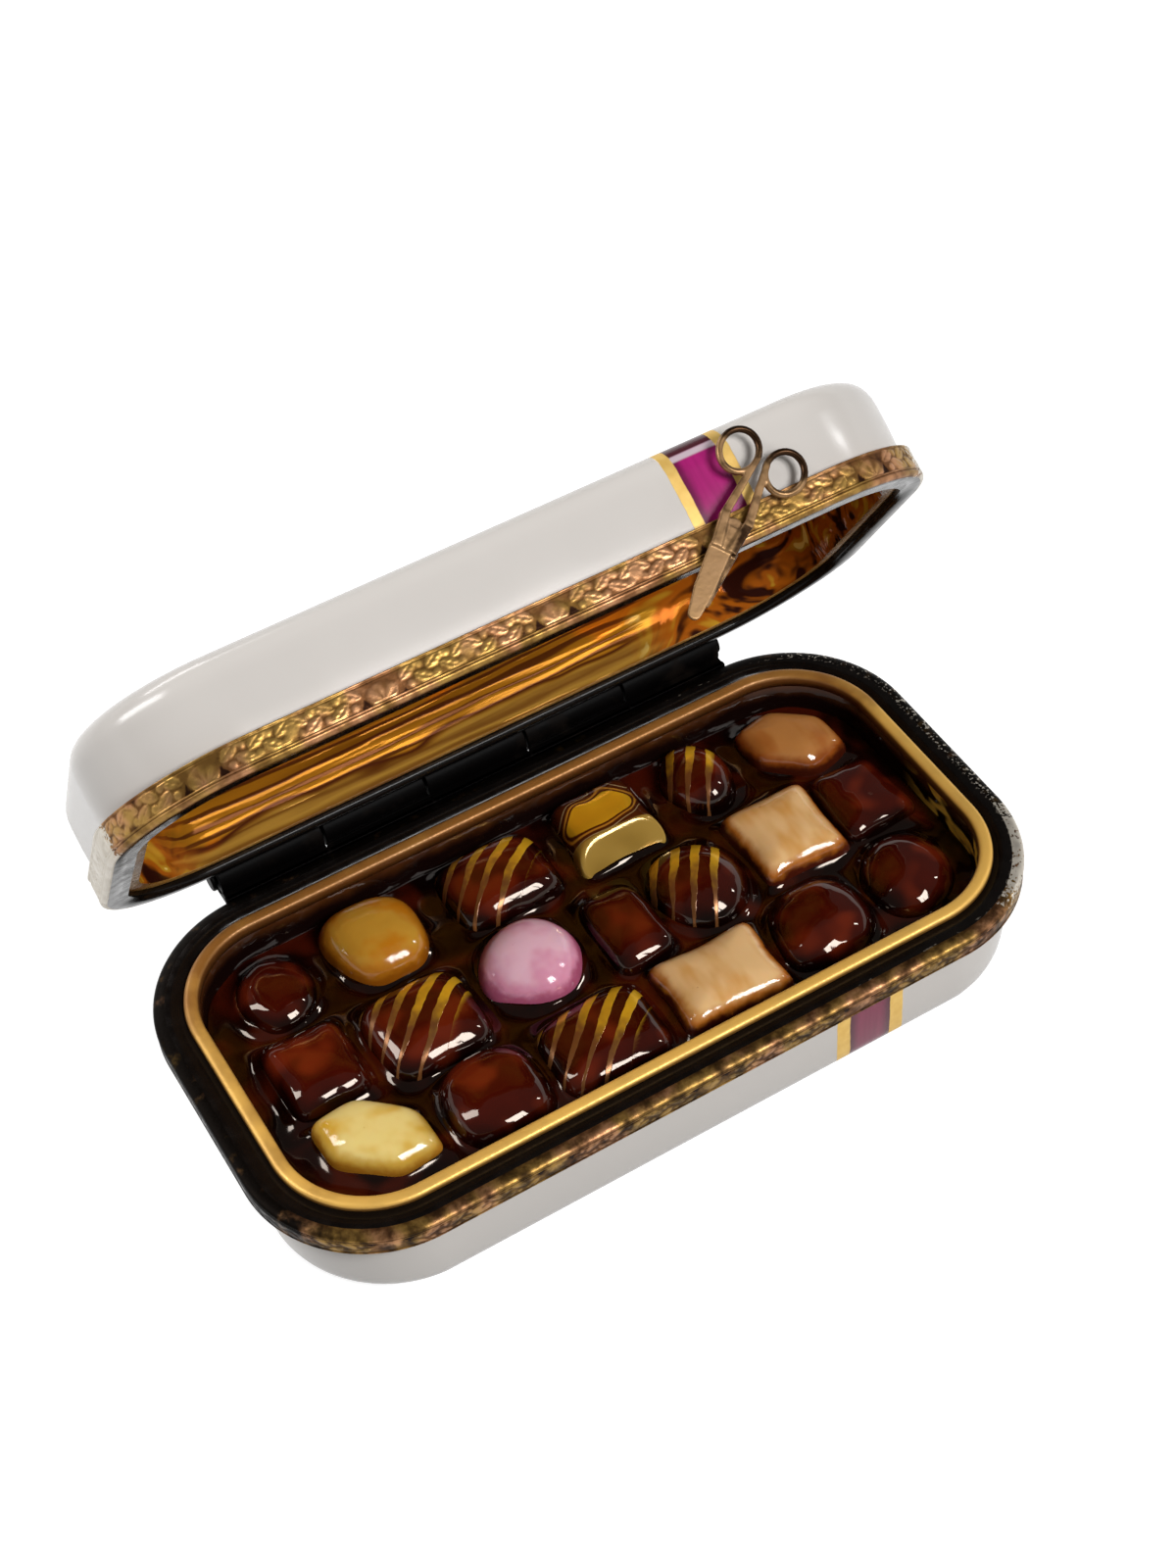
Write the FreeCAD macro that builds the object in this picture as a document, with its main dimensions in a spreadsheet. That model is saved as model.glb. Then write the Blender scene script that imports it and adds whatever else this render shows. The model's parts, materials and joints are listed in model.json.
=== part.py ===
"""Hinged porcelain keepsake box made as a tray of confections, with the lid standing open.

Millimetres, +Z up. The origin is the middle of the flat foot, X runs along the box, -Y is the clasp side
and the hinge is at +Y. Lid pieces are drawn closed and then turned open about the hinge pin.
"""
import FreeCAD, Part
import math
import os
import re

import Sketcher

# Driving dimensions: lengths in millimetres, angles in degrees
SIZES = {
    # outer outline of both mounts, seen from above
    "rim_length": 82.0,
    "rim_width": 42.9,
    "rim_corner": 13.15,
    # porcelain tray
    "base_height": 10.8,
    "floor_thickness": 2.2,
    "foot_round": 1.6,
    # bronze mounts
    "land_width": 2.9,
    "land_thickness": 0.8,
    "skirt_thickness": 0.7,
    "base_skirt": 2.3,
    "lid_skirt": 3.0,
    "mount_round": 0.45,
    "setting_gap": 0.2,
    "parting_clearance": 0.05,
    # gilded collar
    "lip_width": 1.5,
    "lip_rise": 0.5,
    "lip_round": 0.55,
    "lip_clearance": 0.35,
    "lip_fit": 0.05,
    # porcelain lid
    "lid_height": 11.1,
    "lid_wall": 3.1,
    "lid_wall_inset": 0.7,
    "lid_neck": 0.6,
    "lid_top_thickness": 2.2,
    "lid_edge_round": 2.4,
    "lid_inner_round": 2.2,
    "lid_opening": 58.2,
    "lid_limit": 95.0,
    # glaze bed and confections
    "bed_drop": 4.2,
    "bed_clearance": 0.05,
    "confection_rise": 3.2,
    "confection_corner": 1.5,
    "confection_round": 1.1,
    # hinge
    "hinge_length": 57.0,
    "hinge_offset": 2.9,
    "hinge_rise": 0.45,
    "barrel_radius": 1.9,
    "pin_radius": 0.8,
    "pin_clearance": 0.05,
    "pin_head_radius": 1.2,
    "pin_head_thickness": 0.5,
    "leaf_thickness": 0.6,
    "leaf_gap": 0.1,
    "knuckle_gap": 0.2,
    "heel_reach": 1.85,
    "stop_gap": 0.08,
    # scissors clasp, in its own plane from the pivot
    "clasp_pivot_x": 17.4,
    "clasp_pivot_rise": 1.65,
    "clasp_tilt": 38.3,
    "clasp_stand": 0.3,
    "clasp_thickness": 0.9,
    "post_radius": 0.9,
    "loop_radius": 1.7,
    "loop_wire": 0.38,
    "loop_reach": 7.05,
    "loop_spread": 2.18,
    "shank_radius": 0.42,
    "pivot_width": 2.5,
    "pivot_head": 1.9,
    "blade_step": 2.9,
    "blade_length": 9.3,
    "blade_tip_width": 1.1,
    "blade_thickness": 0.65,
    # how far a cutting shape runs past what it cuts
    "overrun": 1.0,
}

KNUCKLE_COUNT = 5

# Two heights closer than this are one height
TOLERANCE = 1e-4

# A lozenge's shoulders lie at this share of its length
SHOULDER_SHARE = 0.48

# A shank joins its loop this far from the loop's middle, along and across the clasp, in loop radii
SHANK_FOOT_SHARES = (0.5, 0.866)

# Place and size of each confection, as shares of the tray's inside: the place from its middle, in halves of
# its length and width, then the piece's length and depth in its full length and width, the rise as a share of
# the common one, and the turn about Z in degrees
CONFECTION_SHARES = {
    "lemon_lozenge": ("lozenge", -0.770, -0.520, 0.192, 0.208, 0.95, -41.0),
    "dark_dome_left": ("dome", -0.458, -0.622, 0.136, 0.290, 1.00, 0.0),
    "striped_bar_front": ("pillow", -0.142, -0.625, 0.156, 0.280, 0.95, 0.0),
    "caramel_pillow_front": ("pillow", 0.206, -0.615, 0.154, 0.262, 0.95, 0.0),
    "dark_dome_right": ("dome", 0.524, -0.610, 0.140, 0.296, 1.00, 0.0),
    "dark_oval_end": ("dome", 0.806, -0.555, 0.120, 0.300, 0.95, -24.0),
    "dark_square_left": ("pillow", -0.806, 0.060, 0.112, 0.270, 0.85, 0.0),
    "striped_square_left": ("pillow", -0.503, 0.006, 0.146, 0.296, 1.00, 0.0),
    "pink_dragee": ("dome", -0.181, 0.065, 0.134, 0.300, 1.15, -20.0),
    "dark_square_middle": ("pillow", 0.084, -0.015, 0.092, 0.286, 0.85, 0.0),
    "striped_dome_middle": ("dome", 0.326, 0.005, 0.134, 0.312, 1.05, 0.0),
    "caramel_pillow_middle": ("pillow", 0.608, 0.056, 0.130, 0.284, 0.95, 0.0),
    "dark_square_end": ("pillow", 0.852, 0.040, 0.106, 0.256, 0.85, 0.0),
    "dark_oval_left": ("dome", -0.784, 0.650, 0.110, 0.248, 0.85, 14.0),
    "honey_pillow": ("pillow", -0.484, 0.680, 0.128, 0.280, 1.15, 0.0),
    "striped_bar_back": ("pillow", -0.122, 0.662, 0.150, 0.262, 1.05, 0.0),
    "foil_square": ("pillow", 0.220, 0.680, 0.122, 0.256, 1.05, 0.0),
    "striped_dome_back": ("dome", 0.508, 0.690, 0.094, 0.262, 1.20, 0.0),
    "caramel_lozenge": ("lozenge", 0.802, 0.640, 0.182, 0.200, 0.95, -40.0),
}

# Sums that several pieces share
TRAY_INSET = "(land_width + lip_width)"
SPIGOT_INSET = "(skirt_thickness + setting_gap)"
PARTING = "(base_height + parting_clearance)"
BED_TOP = "(base_height - bed_drop)"
AXIS_Y = "(rim_width / 2 + hinge_offset)"
AXIS_Z = "(base_height + hinge_rise)"
LEAF_FACE = "(hinge_offset - leaf_thickness)"
HEEL_HEIGHT = f"(({LEAF_FACE} + heel_reach * cos(lid_limit)) / sin(lid_limit) - stop_gap)"
TRAY_LENGTH = f"(rim_length - 2 * {TRAY_INSET})"
TRAY_WIDTH = f"(rim_width - 2 * {TRAY_INSET})"

doc = FreeCAD.newDocument("keepsake_box")
sheet = doc.addObject("Spreadsheet::Sheet", "sizes")
for row, (alias, size) in enumerate(SIZES.items(), start=1):
    sheet.set(f"A{row}", alias)
    sheet.set(f"B{row}", str(size))
    sheet.setAlias(f"B{row}", alias)
doc.recompute()


def cells(text):
    """Turn the size names in a sum into references to the sheet's cells."""
    return re.sub(r"[a-z_]+", lambda word: "sizes." + word[0] if word[0] in SIZES else word[0], text)


def value(text):
    """Work out a sum of size names."""
    return float(sheet.evalExpression(cells(text)))


def bind(item, sums):
    """Tie an object's properties to sums of size names."""
    for name, text in sums.items():
        item.setExpression(name, cells(text))


def vector(x, y, z):
    return f"vector({x}; {y}; {z})"


LID_POSE = (
    f"placement({vector(0, 0, 0)}; rotation({vector(1, 0, 0)}; -lid_opening); {vector(0, AXIS_Y, AXIS_Z)})"
)


# Sketch and feature helpers


def new_body(name):
    body = doc.addObject("PartDesign::Body", name)
    body.Label = name
    return body


def new_sketch(body, name, height="0"):
    """Add a level sketch to the body, at a height."""
    sketch = body.newObject("Sketcher::SketchObject", f"{body.Name}_{name}")
    support = next(item for item in body.Origin.OriginFeatures if item.Role == "XY_Plane")
    sketch.AttachmentSupport = [(support, "")]
    sketch.MapMode = "FlatFace"
    bind(sketch, {"AttachmentOffset.Base.z": height})
    return sketch


def name_constraint(sketch, constraint, name, text):
    """Add a named constraint whose value follows a sum of size names."""
    index = sketch.addConstraint(constraint)
    sketch.renameConstraint(index, name)
    sketch.setExpression(f"Constraints.{name}", cells(text))


def add_outline(sketch, prefix, length, width, corner):
    """Draw a rounded rectangle about the sketch's origin."""
    half_x = value(length) / 2
    half_y = value(width) / 2
    round_size = value(corner)
    inner_x = half_x - round_size
    inner_y = half_y - round_size
    first = sketch.GeometryCount
    up = FreeCAD.Vector(0, 0, 1)
    corners = [(inner_x, -inner_y), (inner_x, inner_y), (-inner_x, inner_y), (-inner_x, -inner_y)]
    for side, (x, y) in enumerate(corners):
        next_x, next_y = corners[(side + 1) % len(corners)]
        start_angle = (side - 1) * math.pi / 2
        end_angle = side * math.pi / 2
        centre = FreeCAD.Vector(x, y, 0)
        sketch.addGeometry(Part.ArcOfCircle(Part.Circle(centre, up, round_size), start_angle, end_angle))
        out = FreeCAD.Vector(math.cos(end_angle), math.sin(end_angle), 0) * round_size
        sketch.addGeometry(Part.LineSegment(centre + out, FreeCAD.Vector(next_x, next_y, 0) + out))
    count = 2 * len(corners)
    for step in range(count):
        here = first + step
        after = first + (step + 1) % count
        sketch.addConstraint(Sketcher.Constraint("Tangent", here, 2, after, 1))
    right, top, left, bottom = (first + 1, first + 3, first + 5, first + 7)
    for line in (right, left):
        sketch.addConstraint(Sketcher.Constraint("Vertical", line))
    for line in (top, bottom):
        sketch.addConstraint(Sketcher.Constraint("Horizontal", line))
    for arc in (first + 2, first + 4, first + 6):
        sketch.addConstraint(Sketcher.Constraint("Equal", first, arc))
    sketch.addConstraint(Sketcher.Constraint("Symmetric", first, 3, first + 4, 3, -1, 1))
    length_rule = Sketcher.Constraint("DistanceX", left, 1, right, 1, 2 * half_x)
    width_rule = Sketcher.Constraint("DistanceY", bottom, 1, top, 1, 2 * half_y)
    corner_rule = Sketcher.Constraint("Radius", first, round_size)
    name_constraint(sketch, length_rule, f"{prefix}_length", length)
    name_constraint(sketch, width_rule, f"{prefix}_width", width)
    name_constraint(sketch, corner_rule, f"{prefix}_corner", corner)


def add_rim_outline(sketch, prefix, inset="0"):
    """Draw the mounts' outline, drawn in by an inset."""
    add_outline(
        sketch,
        prefix,
        f"rim_length - 2 * {inset}",
        f"rim_width - 2 * {inset}",
        f"rim_corner - {inset}",
    )


def add_polygon(sketch, points):
    """Draw a closed polygon through points given as sums, each held by its two distances from the origin."""
    places = [FreeCAD.Vector(value(x), value(y), 0) for x, y in points]
    for index, place in enumerate(places):
        sketch.addGeometry(Part.LineSegment(place, places[(index + 1) % len(places)]))
    for index in range(len(points)):
        after = (index + 1) % len(points)
        sketch.addConstraint(Sketcher.Constraint("Coincident", index, 2, after, 1))
    for index, (x, y) in enumerate(points):
        across = Sketcher.Constraint("DistanceX", -1, 1, index, 1, places[index].x)
        along = Sketcher.Constraint("DistanceY", -1, 1, index, 1, places[index].y)
        name_constraint(sketch, across, f"point_{index}_x", x)
        name_constraint(sketch, along, f"point_{index}_y", y)


def pad(body, sketch, length):
    feature = body.newObject("PartDesign::Pad", f"{sketch.Name}_pad")
    feature.Profile = sketch
    bind(feature, {"Length": length})
    return feature


def pocket(body, sketch, depth, upward=False):
    """Cut below the sketch, or above it, and make sure that something was cut."""
    doc.recompute()
    before = body.Shape.Volume
    feature = body.newObject("PartDesign::Pocket", f"{sketch.Name}_pocket")
    feature.Profile = sketch
    feature.Reversed = upward
    bind(feature, {"Length": depth})
    doc.recompute()
    if body.Shape.Volume >= before:
        raise RuntimeError(f"{feature.Name} cuts nothing")
    return feature


def round_off(body, radius, wanted, name):
    """Round the edges of the body's tip that the test picks."""
    doc.recompute()
    base = body.Tip
    edges = [f"Edge{n}" for n, edge in enumerate(base.Shape.Edges, start=1) if wanted(edge.BoundBox)]
    if not edges:
        raise RuntimeError(f"{body.Name}: no edge to round for {name}")
    feature = body.newObject("PartDesign::Fillet", f"{body.Name}_{name}")
    feature.Base = (base, edges)
    bind(feature, {"Radius": radius})
    return feature


def at_height(text):
    """A test for edges that lie flat at a height."""
    height = value(text)

    def test(box):
        return abs(box.ZMin - height) < TOLERANCE and abs(box.ZMax - height) < TOLERANCE

    return test


def fuse(name, shapes):
    joined = doc.addObject("Part::MultiFuse", name)
    joined.Shapes = shapes
    return joined


def cut(name, base, tool):
    result = doc.addObject("Part::Cut", name)
    result.Base = base
    result.Tool = tool
    return result


def block(name, size_x, size_y, size_z, x, y, z):
    box = doc.addObject("Part::Box", name)
    bind(box, {"Length": size_x, "Width": size_y, "Height": size_z})
    bind(box, {"Placement.Base.x": x, "Placement.Base.y": y, "Placement.Base.z": z})
    return box


def rod_along_x(name, radius, length, x, y, z):
    rod = doc.addObject("Part::Cylinder", name)
    rod.Placement = FreeCAD.Placement(FreeCAD.Vector(), FreeCAD.Rotation(FreeCAD.Vector(0, 1, 0), 90))
    bind(rod, {"Radius": radius, "Height": length})
    bind(rod, {"Placement.Base.x": x, "Placement.Base.y": y, "Placement.Base.z": z})
    return rod


# Porcelain tray, its mount, collar and glaze bed


def make_base_shell():
    body = new_body("base_shell")
    outside = new_sketch(body, "outside")
    add_rim_outline(outside, "wall", SPIGOT_INSET)
    pad(body, outside, "base_height - land_thickness")
    round_off(body, "foot_round", at_height("0"), "foot")
    inside = new_sketch(body, "inside", "base_height - land_thickness")
    add_rim_outline(inside, "tray", TRAY_INSET)
    pocket(body, inside, "base_height - land_thickness - floor_thickness")
    return body


def make_mount(name, land_bottom, skirt_bottom, skirt_height, land_inset, round_height):
    """A bronze ring of L section: a flat land on the porcelain's edge and a skirt round its side."""
    body = new_body(name)
    land = new_sketch(body, "land", land_bottom)
    add_rim_outline(land, "outer")
    add_rim_outline(land, "inner", land_inset)
    pad(body, land, "land_thickness")
    skirt = new_sketch(body, "skirt", skirt_bottom)
    add_rim_outline(skirt, "outer")
    add_rim_outline(skirt, "inner", "skirt_thickness")
    pad(body, skirt, skirt_height)
    on_level = at_height(round_height)
    clear_x = value("rim_length / 2 - skirt_thickness")
    clear_y = value("rim_width / 2 - skirt_thickness")

    def on_outer_edge(box):
        return on_level(box) and (max(abs(box.XMin), abs(box.XMax)) > clear_x
                                  or max(abs(box.YMin), abs(box.YMax)) > clear_y)

    round_off(body, "mount_round", on_outer_edge, "outer_edge")
    return body


def make_base_lip():
    body = new_body("base_lip")
    ring = new_sketch(body, "ring", "base_height - land_thickness")
    add_rim_outline(ring, "outer", "(land_width + lip_fit)")
    add_rim_outline(ring, "inner", TRAY_INSET)
    pad(body, ring, "land_thickness + lip_rise")
    round_off(body, "lip_round", at_height("base_height + lip_rise"), "crown")
    return body


def make_bed():
    body = new_body("confection_bed")
    pool = new_sketch(body, "pool", "floor_thickness")
    add_rim_outline(pool, "pool", f"({TRAY_INSET} + bed_clearance)")
    pad(body, pool, f"{BED_TOP} - floor_thickness")
    return body


# Confections


def make_pillow(name, length, depth, rise):
    """A block with round corners and a round top edge."""
    body = new_body(name)
    outline = new_sketch(body, "outline")
    add_outline(outline, "block", length, depth, "confection_corner")
    pad(body, outline, rise)
    round_off(body, "confection_round", at_height(rise), "crown")
    return body


def make_lozenge(name, length, depth, rise):
    """A six-sided block, pointed along its length, with a round top edge."""
    body = new_body(name)
    outline = new_sketch(body, "outline")
    end = f"{length} / 2"
    side = f"{depth} / 2"
    shoulder = f"{length} * {SHOULDER_SHARE} / 2"
    add_polygon(outline, [
        (end, "0"),
        (shoulder, side),
        (f"-{shoulder}", side),
        (f"-{end}", "0"),
        (f"-{shoulder}", f"-{side}"),
        (shoulder, f"-{side}"),
    ])
    pad(body, outline, rise)
    top = value(rise)
    round_off(body, "confection_corner", lambda box: box.ZLength > top / 2, "corners")
    round_off(body, "confection_round", at_height(rise), "crown")
    return body


def make_dome(name, length, depth, rise):
    """The upper half of an ellipsoid."""
    dome = doc.addObject("Part::Ellipsoid", name)
    dome.Label = name
    dome.Angle1 = 0
    bind(dome, {"Radius1": rise, "Radius2": f"{length} / 2", "Radius3": f"{depth} / 2"})
    return dome


FORMS = {"pillow": make_pillow, "lozenge": make_lozenge, "dome": make_dome}


def make_confections():
    pieces = []
    for name, (form, x, y, length, depth, rise, turn) in CONFECTION_SHARES.items():
        piece = FORMS[form](
            name,
            f"({length} * {TRAY_LENGTH})",
            f"({depth} * {TRAY_WIDTH})",
            f"({rise} * confection_rise)",
        )
        place = vector(f"{x} * {TRAY_LENGTH} / 2", f"{y} * {TRAY_WIDTH} / 2", BED_TOP)
        bind(piece, {"Placement": f"placement({place}; rotation({vector(0, 0, 1)}; {turn}))"})
        pieces.append(piece)
    return pieces


# Hinge


def make_leaf(name, turns, leaf_bottom, leaf_height, web_bottom, web_height, heels):
    """A leaf on a mount's back, with a web and a bored knuckle at each of the given turns of the barrel."""
    pitch = f"(hinge_length / {KNUCKLE_COUNT})"
    knuckle = f"({pitch} - knuckle_gap)"
    solids = [block(f"{name}_plate", "hinge_length", "leaf_thickness", leaf_height,
                    "-hinge_length / 2", "rim_width / 2", leaf_bottom)]
    for turn in turns:
        start = f"-hinge_length / 2 + {turn} * {pitch} + knuckle_gap / 2"
        solids.append(rod_along_x(f"{name}_knuckle_{turn}", "barrel_radius", knuckle, start, AXIS_Y, AXIS_Z))
        solids.append(block(f"{name}_web_{turn}", knuckle, "hinge_offset", web_height,
                            start, "rim_width / 2", web_bottom))
        if heels:
            solids.append(block(f"{name}_heel_{turn}", knuckle, "heel_reach", HEEL_HEIGHT,
                                start, AXIS_Y, AXIS_Z))
    bore = rod_along_x(f"{name}_bore", "pin_radius + pin_clearance", "hinge_length + 2 * overrun",
                       "-hinge_length / 2 - overrun", AXIS_Y, AXIS_Z)
    leaf = cut(name, fuse(f"{name}_solid", solids), bore)
    leaf.Label = name
    return leaf


def make_base_leaf():
    return make_leaf(
        "hinge_base_leaf",
        range(0, KNUCKLE_COUNT, 2),
        "base_height - base_skirt",
        "base_skirt - leaf_gap",
        f"{AXIS_Z} - barrel_radius",
        "barrel_radius - hinge_rise - leaf_gap",
        heels=True,
    )


def make_lid_leaf():
    return make_leaf(
        "hinge_lid_leaf",
        range(1, KNUCKLE_COUNT, 2),
        f"{PARTING} + leaf_gap",
        "lid_skirt - leaf_gap",
        AXIS_Z,
        "barrel_radius",
        heels=False,
    )


def make_pin():
    shaft = rod_along_x("hinge_pin_shaft", "pin_radius", "hinge_length", "-hinge_length / 2", AXIS_Y, AXIS_Z)
    left = rod_along_x("hinge_pin_left_head", "pin_head_radius", "pin_head_thickness",
                       "-hinge_length / 2 - pin_head_thickness", AXIS_Y, AXIS_Z)
    right = rod_along_x("hinge_pin_right_head", "pin_head_radius", "pin_head_thickness",
                        "hinge_length / 2", AXIS_Y, AXIS_Z)
    pin = fuse("hinge_pin", [shaft, left, right])
    pin.Label = "hinge_pin"
    return pin


# Porcelain lid and its clasp


def make_lid_shell():
    body = new_body("lid_shell")
    seat = f"({PARTING} + land_thickness)"
    shoulder = f"({PARTING} + lid_skirt + lid_neck)"
    top = f"({PARTING} + lid_height)"
    spigot = new_sketch(body, "spigot", seat)
    add_rim_outline(spigot, "spigot", SPIGOT_INSET)
    pad(body, spigot, f"{shoulder} - {seat}")
    wall = new_sketch(body, "wall", shoulder)
    add_rim_outline(wall, "wall", "lid_wall_inset")
    pad(body, wall, f"{top} - {shoulder}")
    round_off(body, "lid_edge_round", at_height(top), "top_edge")
    hollow = new_sketch(body, "hollow", seat)
    add_rim_outline(hollow, "hollow", f"({SPIGOT_INSET} + lid_wall)")
    ceiling = f"({top} - lid_top_thickness)"
    pocket(body, hollow, f"{ceiling} - {seat}", upward=True)
    round_off(body, "lid_inner_round", at_height(ceiling), "ceiling_edge")
    return body


def make_scissors():
    """Two loops on shanks that meet at a pivot plate, and a blade that hangs past the lid's edge."""
    middle = "clasp_thickness / 2"
    solids = []
    for side in (-1, 1):
        loop = doc.addObject("Part::Torus", f"scissors_loop_{side + 1}")
        bind(loop, {"Radius1": "loop_radius", "Radius2": "loop_wire"})
        bind(loop, {"Placement.Base.x": "loop_reach", "Placement.Base.y": f"{side} * loop_spread"})
        bind(loop, {"Placement.Base.z": middle})
        solids.append(loop)
        along, across = SHANK_FOOT_SHARES
        run_x = f"(loop_reach - {along} * loop_radius - pivot_head / 2)"
        run_y = f"({side} * (loop_spread - {across} * loop_radius - pivot_width / 4))"
        shank = doc.addObject("Part::Cylinder", f"scissors_shank_{side + 1}")
        bind(shank, {"Radius": "shank_radius", "Height": f"sqrt({run_x} * {run_x} + {run_y} * {run_y})"})
        start = vector("pivot_head / 2", f"{side} * pivot_width / 4", middle)
        swing = f"rotation({vector(0, 0, 1)}; atan2({run_y}; {run_x})) * rotation({vector(0, 1, 0)}; 90)"
        bind(shank, {"Placement": f"placement({start}; {swing})"})
        solids.append(shank)
    plate = new_body("scissors_plate")
    outline = new_sketch(plate, "outline")
    add_polygon(outline, [
        ("pivot_head", "-pivot_width / 2"),
        ("pivot_head", "pivot_width / 2"),
        ("-blade_step", "pivot_width / 2"),
        ("-blade_step", "-pivot_width / 2"),
    ])
    pad(plate, outline, "clasp_thickness")
    blade = new_body("scissors_blade")
    edge = new_sketch(blade, "edge")
    add_polygon(edge, [
        ("0", "-pivot_width / 2"),
        ("0", "pivot_width / 2"),
        ("-blade_step", "pivot_width / 2"),
        ("-blade_length", "blade_tip_width / 2"),
        ("-blade_length", "-blade_tip_width / 2"),
        ("-blade_step", "-pivot_width / 2"),
    ])
    pad(blade, edge, "blade_thickness")
    post = doc.addObject("Part::Cylinder", "scissors_post")
    bind(post, {"Radius": "post_radius", "Height": f"clasp_stand + {middle}"})
    bind(post, {"Placement.Base.z": "-clasp_stand"})
    clasp = fuse("scissors_clasp", solids + [plate, blade, post])
    clasp.Label = "scissors_clasp"
    return clasp


def place_lid(piece, own_place=None):
    """Turn a lid piece open about the pin, after its own place on the closed lid."""
    bind(piece, {"Placement": f"{LID_POSE} * {own_place}" if own_place else LID_POSE})


def build():
    base = [
        make_base_shell(),
        make_mount(
            "base_mount",
            "base_height - land_thickness",
            "base_height - base_skirt",
            "base_skirt",
            "land_width",
            "base_height",
        ),
        make_base_lip(),
        make_bed(),
        *make_confections(),
        make_base_leaf(),
        make_pin(),
    ]
    lid = [
        make_lid_shell(),
        make_mount("lid_mount", PARTING, PARTING, "lid_skirt", "(land_width - lip_clearance)", PARTING),
        make_lid_leaf(),
    ]
    for piece in lid:
        place_lid(piece)
    scissors = make_scissors()
    pivot = vector("clasp_pivot_x", "-rim_width / 2 - clasp_stand", f"{PARTING} + clasp_pivot_rise")
    facing = f"rotation({vector(1, 0, 0)}; 90) * rotation({vector(0, 0, 1)}; clasp_tilt)"
    place_lid(scissors, f"placement({pivot}; {facing})")
    return base + lid + [scissors]


def check(pieces):
    """Stop unless every object was worked out and every piece is one sound solid."""
    for item in doc.Objects:
        if {"Invalid", "Error"} & set(item.State):
            raise RuntimeError(f"{item.Name} failed: {item.State}")
    for piece in pieces:
        shape = piece.Shape
        if shape.isNull() or not shape.isValid():
            raise RuntimeError(f"{piece.Label} has no sound shape")
        if len(shape.Solids) != 1:
            raise RuntimeError(f"{piece.Label} has {len(shape.Solids)} solids")


nodes = build()
doc.recompute()
check(nodes)
os.makedirs("parts", exist_ok=True)
for node in nodes:
    node.Shape.exportStep(os.path.join("parts", f"{node.Label}.step"))
    print(node.Label, round(node.Shape.Volume, 2))
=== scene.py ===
"""Looks of a hinged porcelain keepsake box made as a tray of glazed confections.

Metres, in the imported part's frame: +Z up, X along the box, the clasp at -Y and the hinge at +Y. Lid pieces
are drawn closed and then turned open about the hinge, which is how the part rests.
"""
import json
import math

import bmesh
import bpy
import numpy as np
from mathutils import Matrix, Vector


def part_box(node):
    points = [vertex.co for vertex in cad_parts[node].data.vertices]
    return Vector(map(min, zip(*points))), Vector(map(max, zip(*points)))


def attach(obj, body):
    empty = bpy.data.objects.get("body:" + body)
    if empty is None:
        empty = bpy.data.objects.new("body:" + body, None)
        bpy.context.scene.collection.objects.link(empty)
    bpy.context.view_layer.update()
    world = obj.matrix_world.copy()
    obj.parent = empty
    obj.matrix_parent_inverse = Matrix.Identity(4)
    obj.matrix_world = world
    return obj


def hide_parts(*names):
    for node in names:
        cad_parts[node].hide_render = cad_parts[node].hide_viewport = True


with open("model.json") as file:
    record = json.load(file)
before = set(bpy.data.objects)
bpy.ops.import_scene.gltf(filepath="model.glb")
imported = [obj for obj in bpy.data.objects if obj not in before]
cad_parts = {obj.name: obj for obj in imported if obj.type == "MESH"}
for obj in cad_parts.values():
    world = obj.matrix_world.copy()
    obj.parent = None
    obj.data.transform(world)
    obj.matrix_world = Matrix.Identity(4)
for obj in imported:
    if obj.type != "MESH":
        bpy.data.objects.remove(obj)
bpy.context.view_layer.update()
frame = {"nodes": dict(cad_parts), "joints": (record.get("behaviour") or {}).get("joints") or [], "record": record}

MM = 0.001

# The photograph's camera: its angles in degrees, and how far its view is shifted off the middle of the land
VIEW_AZIMUTH = -26.30
VIEW_ELEVATION = 48.36
VIEW_ROLL = -5.55
VIEW_DISTANCE = 245.0 * MM
VIEW_RIGHT = -0.47 * MM
VIEW_UP = 12.78 * MM
LENS = 59.34

# Heights and half sizes that the frame gives
mount_low, mount_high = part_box("base_mount")
_, shell_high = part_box("base_shell")
lip_low, lip_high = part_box("base_lip")
bed_low, bed_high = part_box("confection_bed")
_, leaf_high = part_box("hinge_base_leaf")
pin_low, pin_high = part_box("hinge_pin")
HALF_X, HALF_Y, LAND = mount_high
SKIRT_FOOT = mount_low.z
WALL_INSET = HALF_X - shell_high.x
SHELL_TOP = shell_high.z
LIP_INSET = HALF_X - lip_high.x
FLOOR = bed_low.z
BED_TOP = bed_high.z

# The hinge, and the turn that opens a closed lid to where it rests
hinge = frame["joints"][0]
AXIS = Vector(hinge["pos_m"])
OPEN = (
    Matrix.Translation(AXIS)
    @ Matrix.Rotation(-math.radians(hinge["range_deg"][0]), 4, Vector(hinge["axis"]))
    @ Matrix.Translation(-AXIS)
)


def closed_box(node):
    """Lowest and highest corner of a lid node with the lid closed."""
    shut = OPEN.inverted()
    corners = np.array([shut @ vertex.co for vertex in frame["nodes"][node].data.vertices])
    return Vector(corners.min(0)), Vector(corners.max(0))


lid_mount_low, lid_mount_high = closed_box("lid_mount")
lid_low, lid_high = closed_box("lid_shell")
PARTING = lid_mount_low.z
LID_SKIRT_TOP = lid_mount_high.z
LID_SEAT = lid_low.z
LID_TOP = lid_high.z

# Sizes that a box can't give
RIM_CORNER = 13.15 * MM
LAND_WIDTH = 2.9 * MM
LAND_THICKNESS = 0.8 * MM
SKIRT_THICKNESS = 0.7 * MM
LIP_WIDTH = 1.5 * MM
LIP_CLEARANCE = 0.35 * MM
TRAY_INSET = LAND_WIDTH + LIP_WIDTH
LID_WALL = 3.1 * MM
LID_CEILING = LID_TOP - 2.2 * MM

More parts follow.
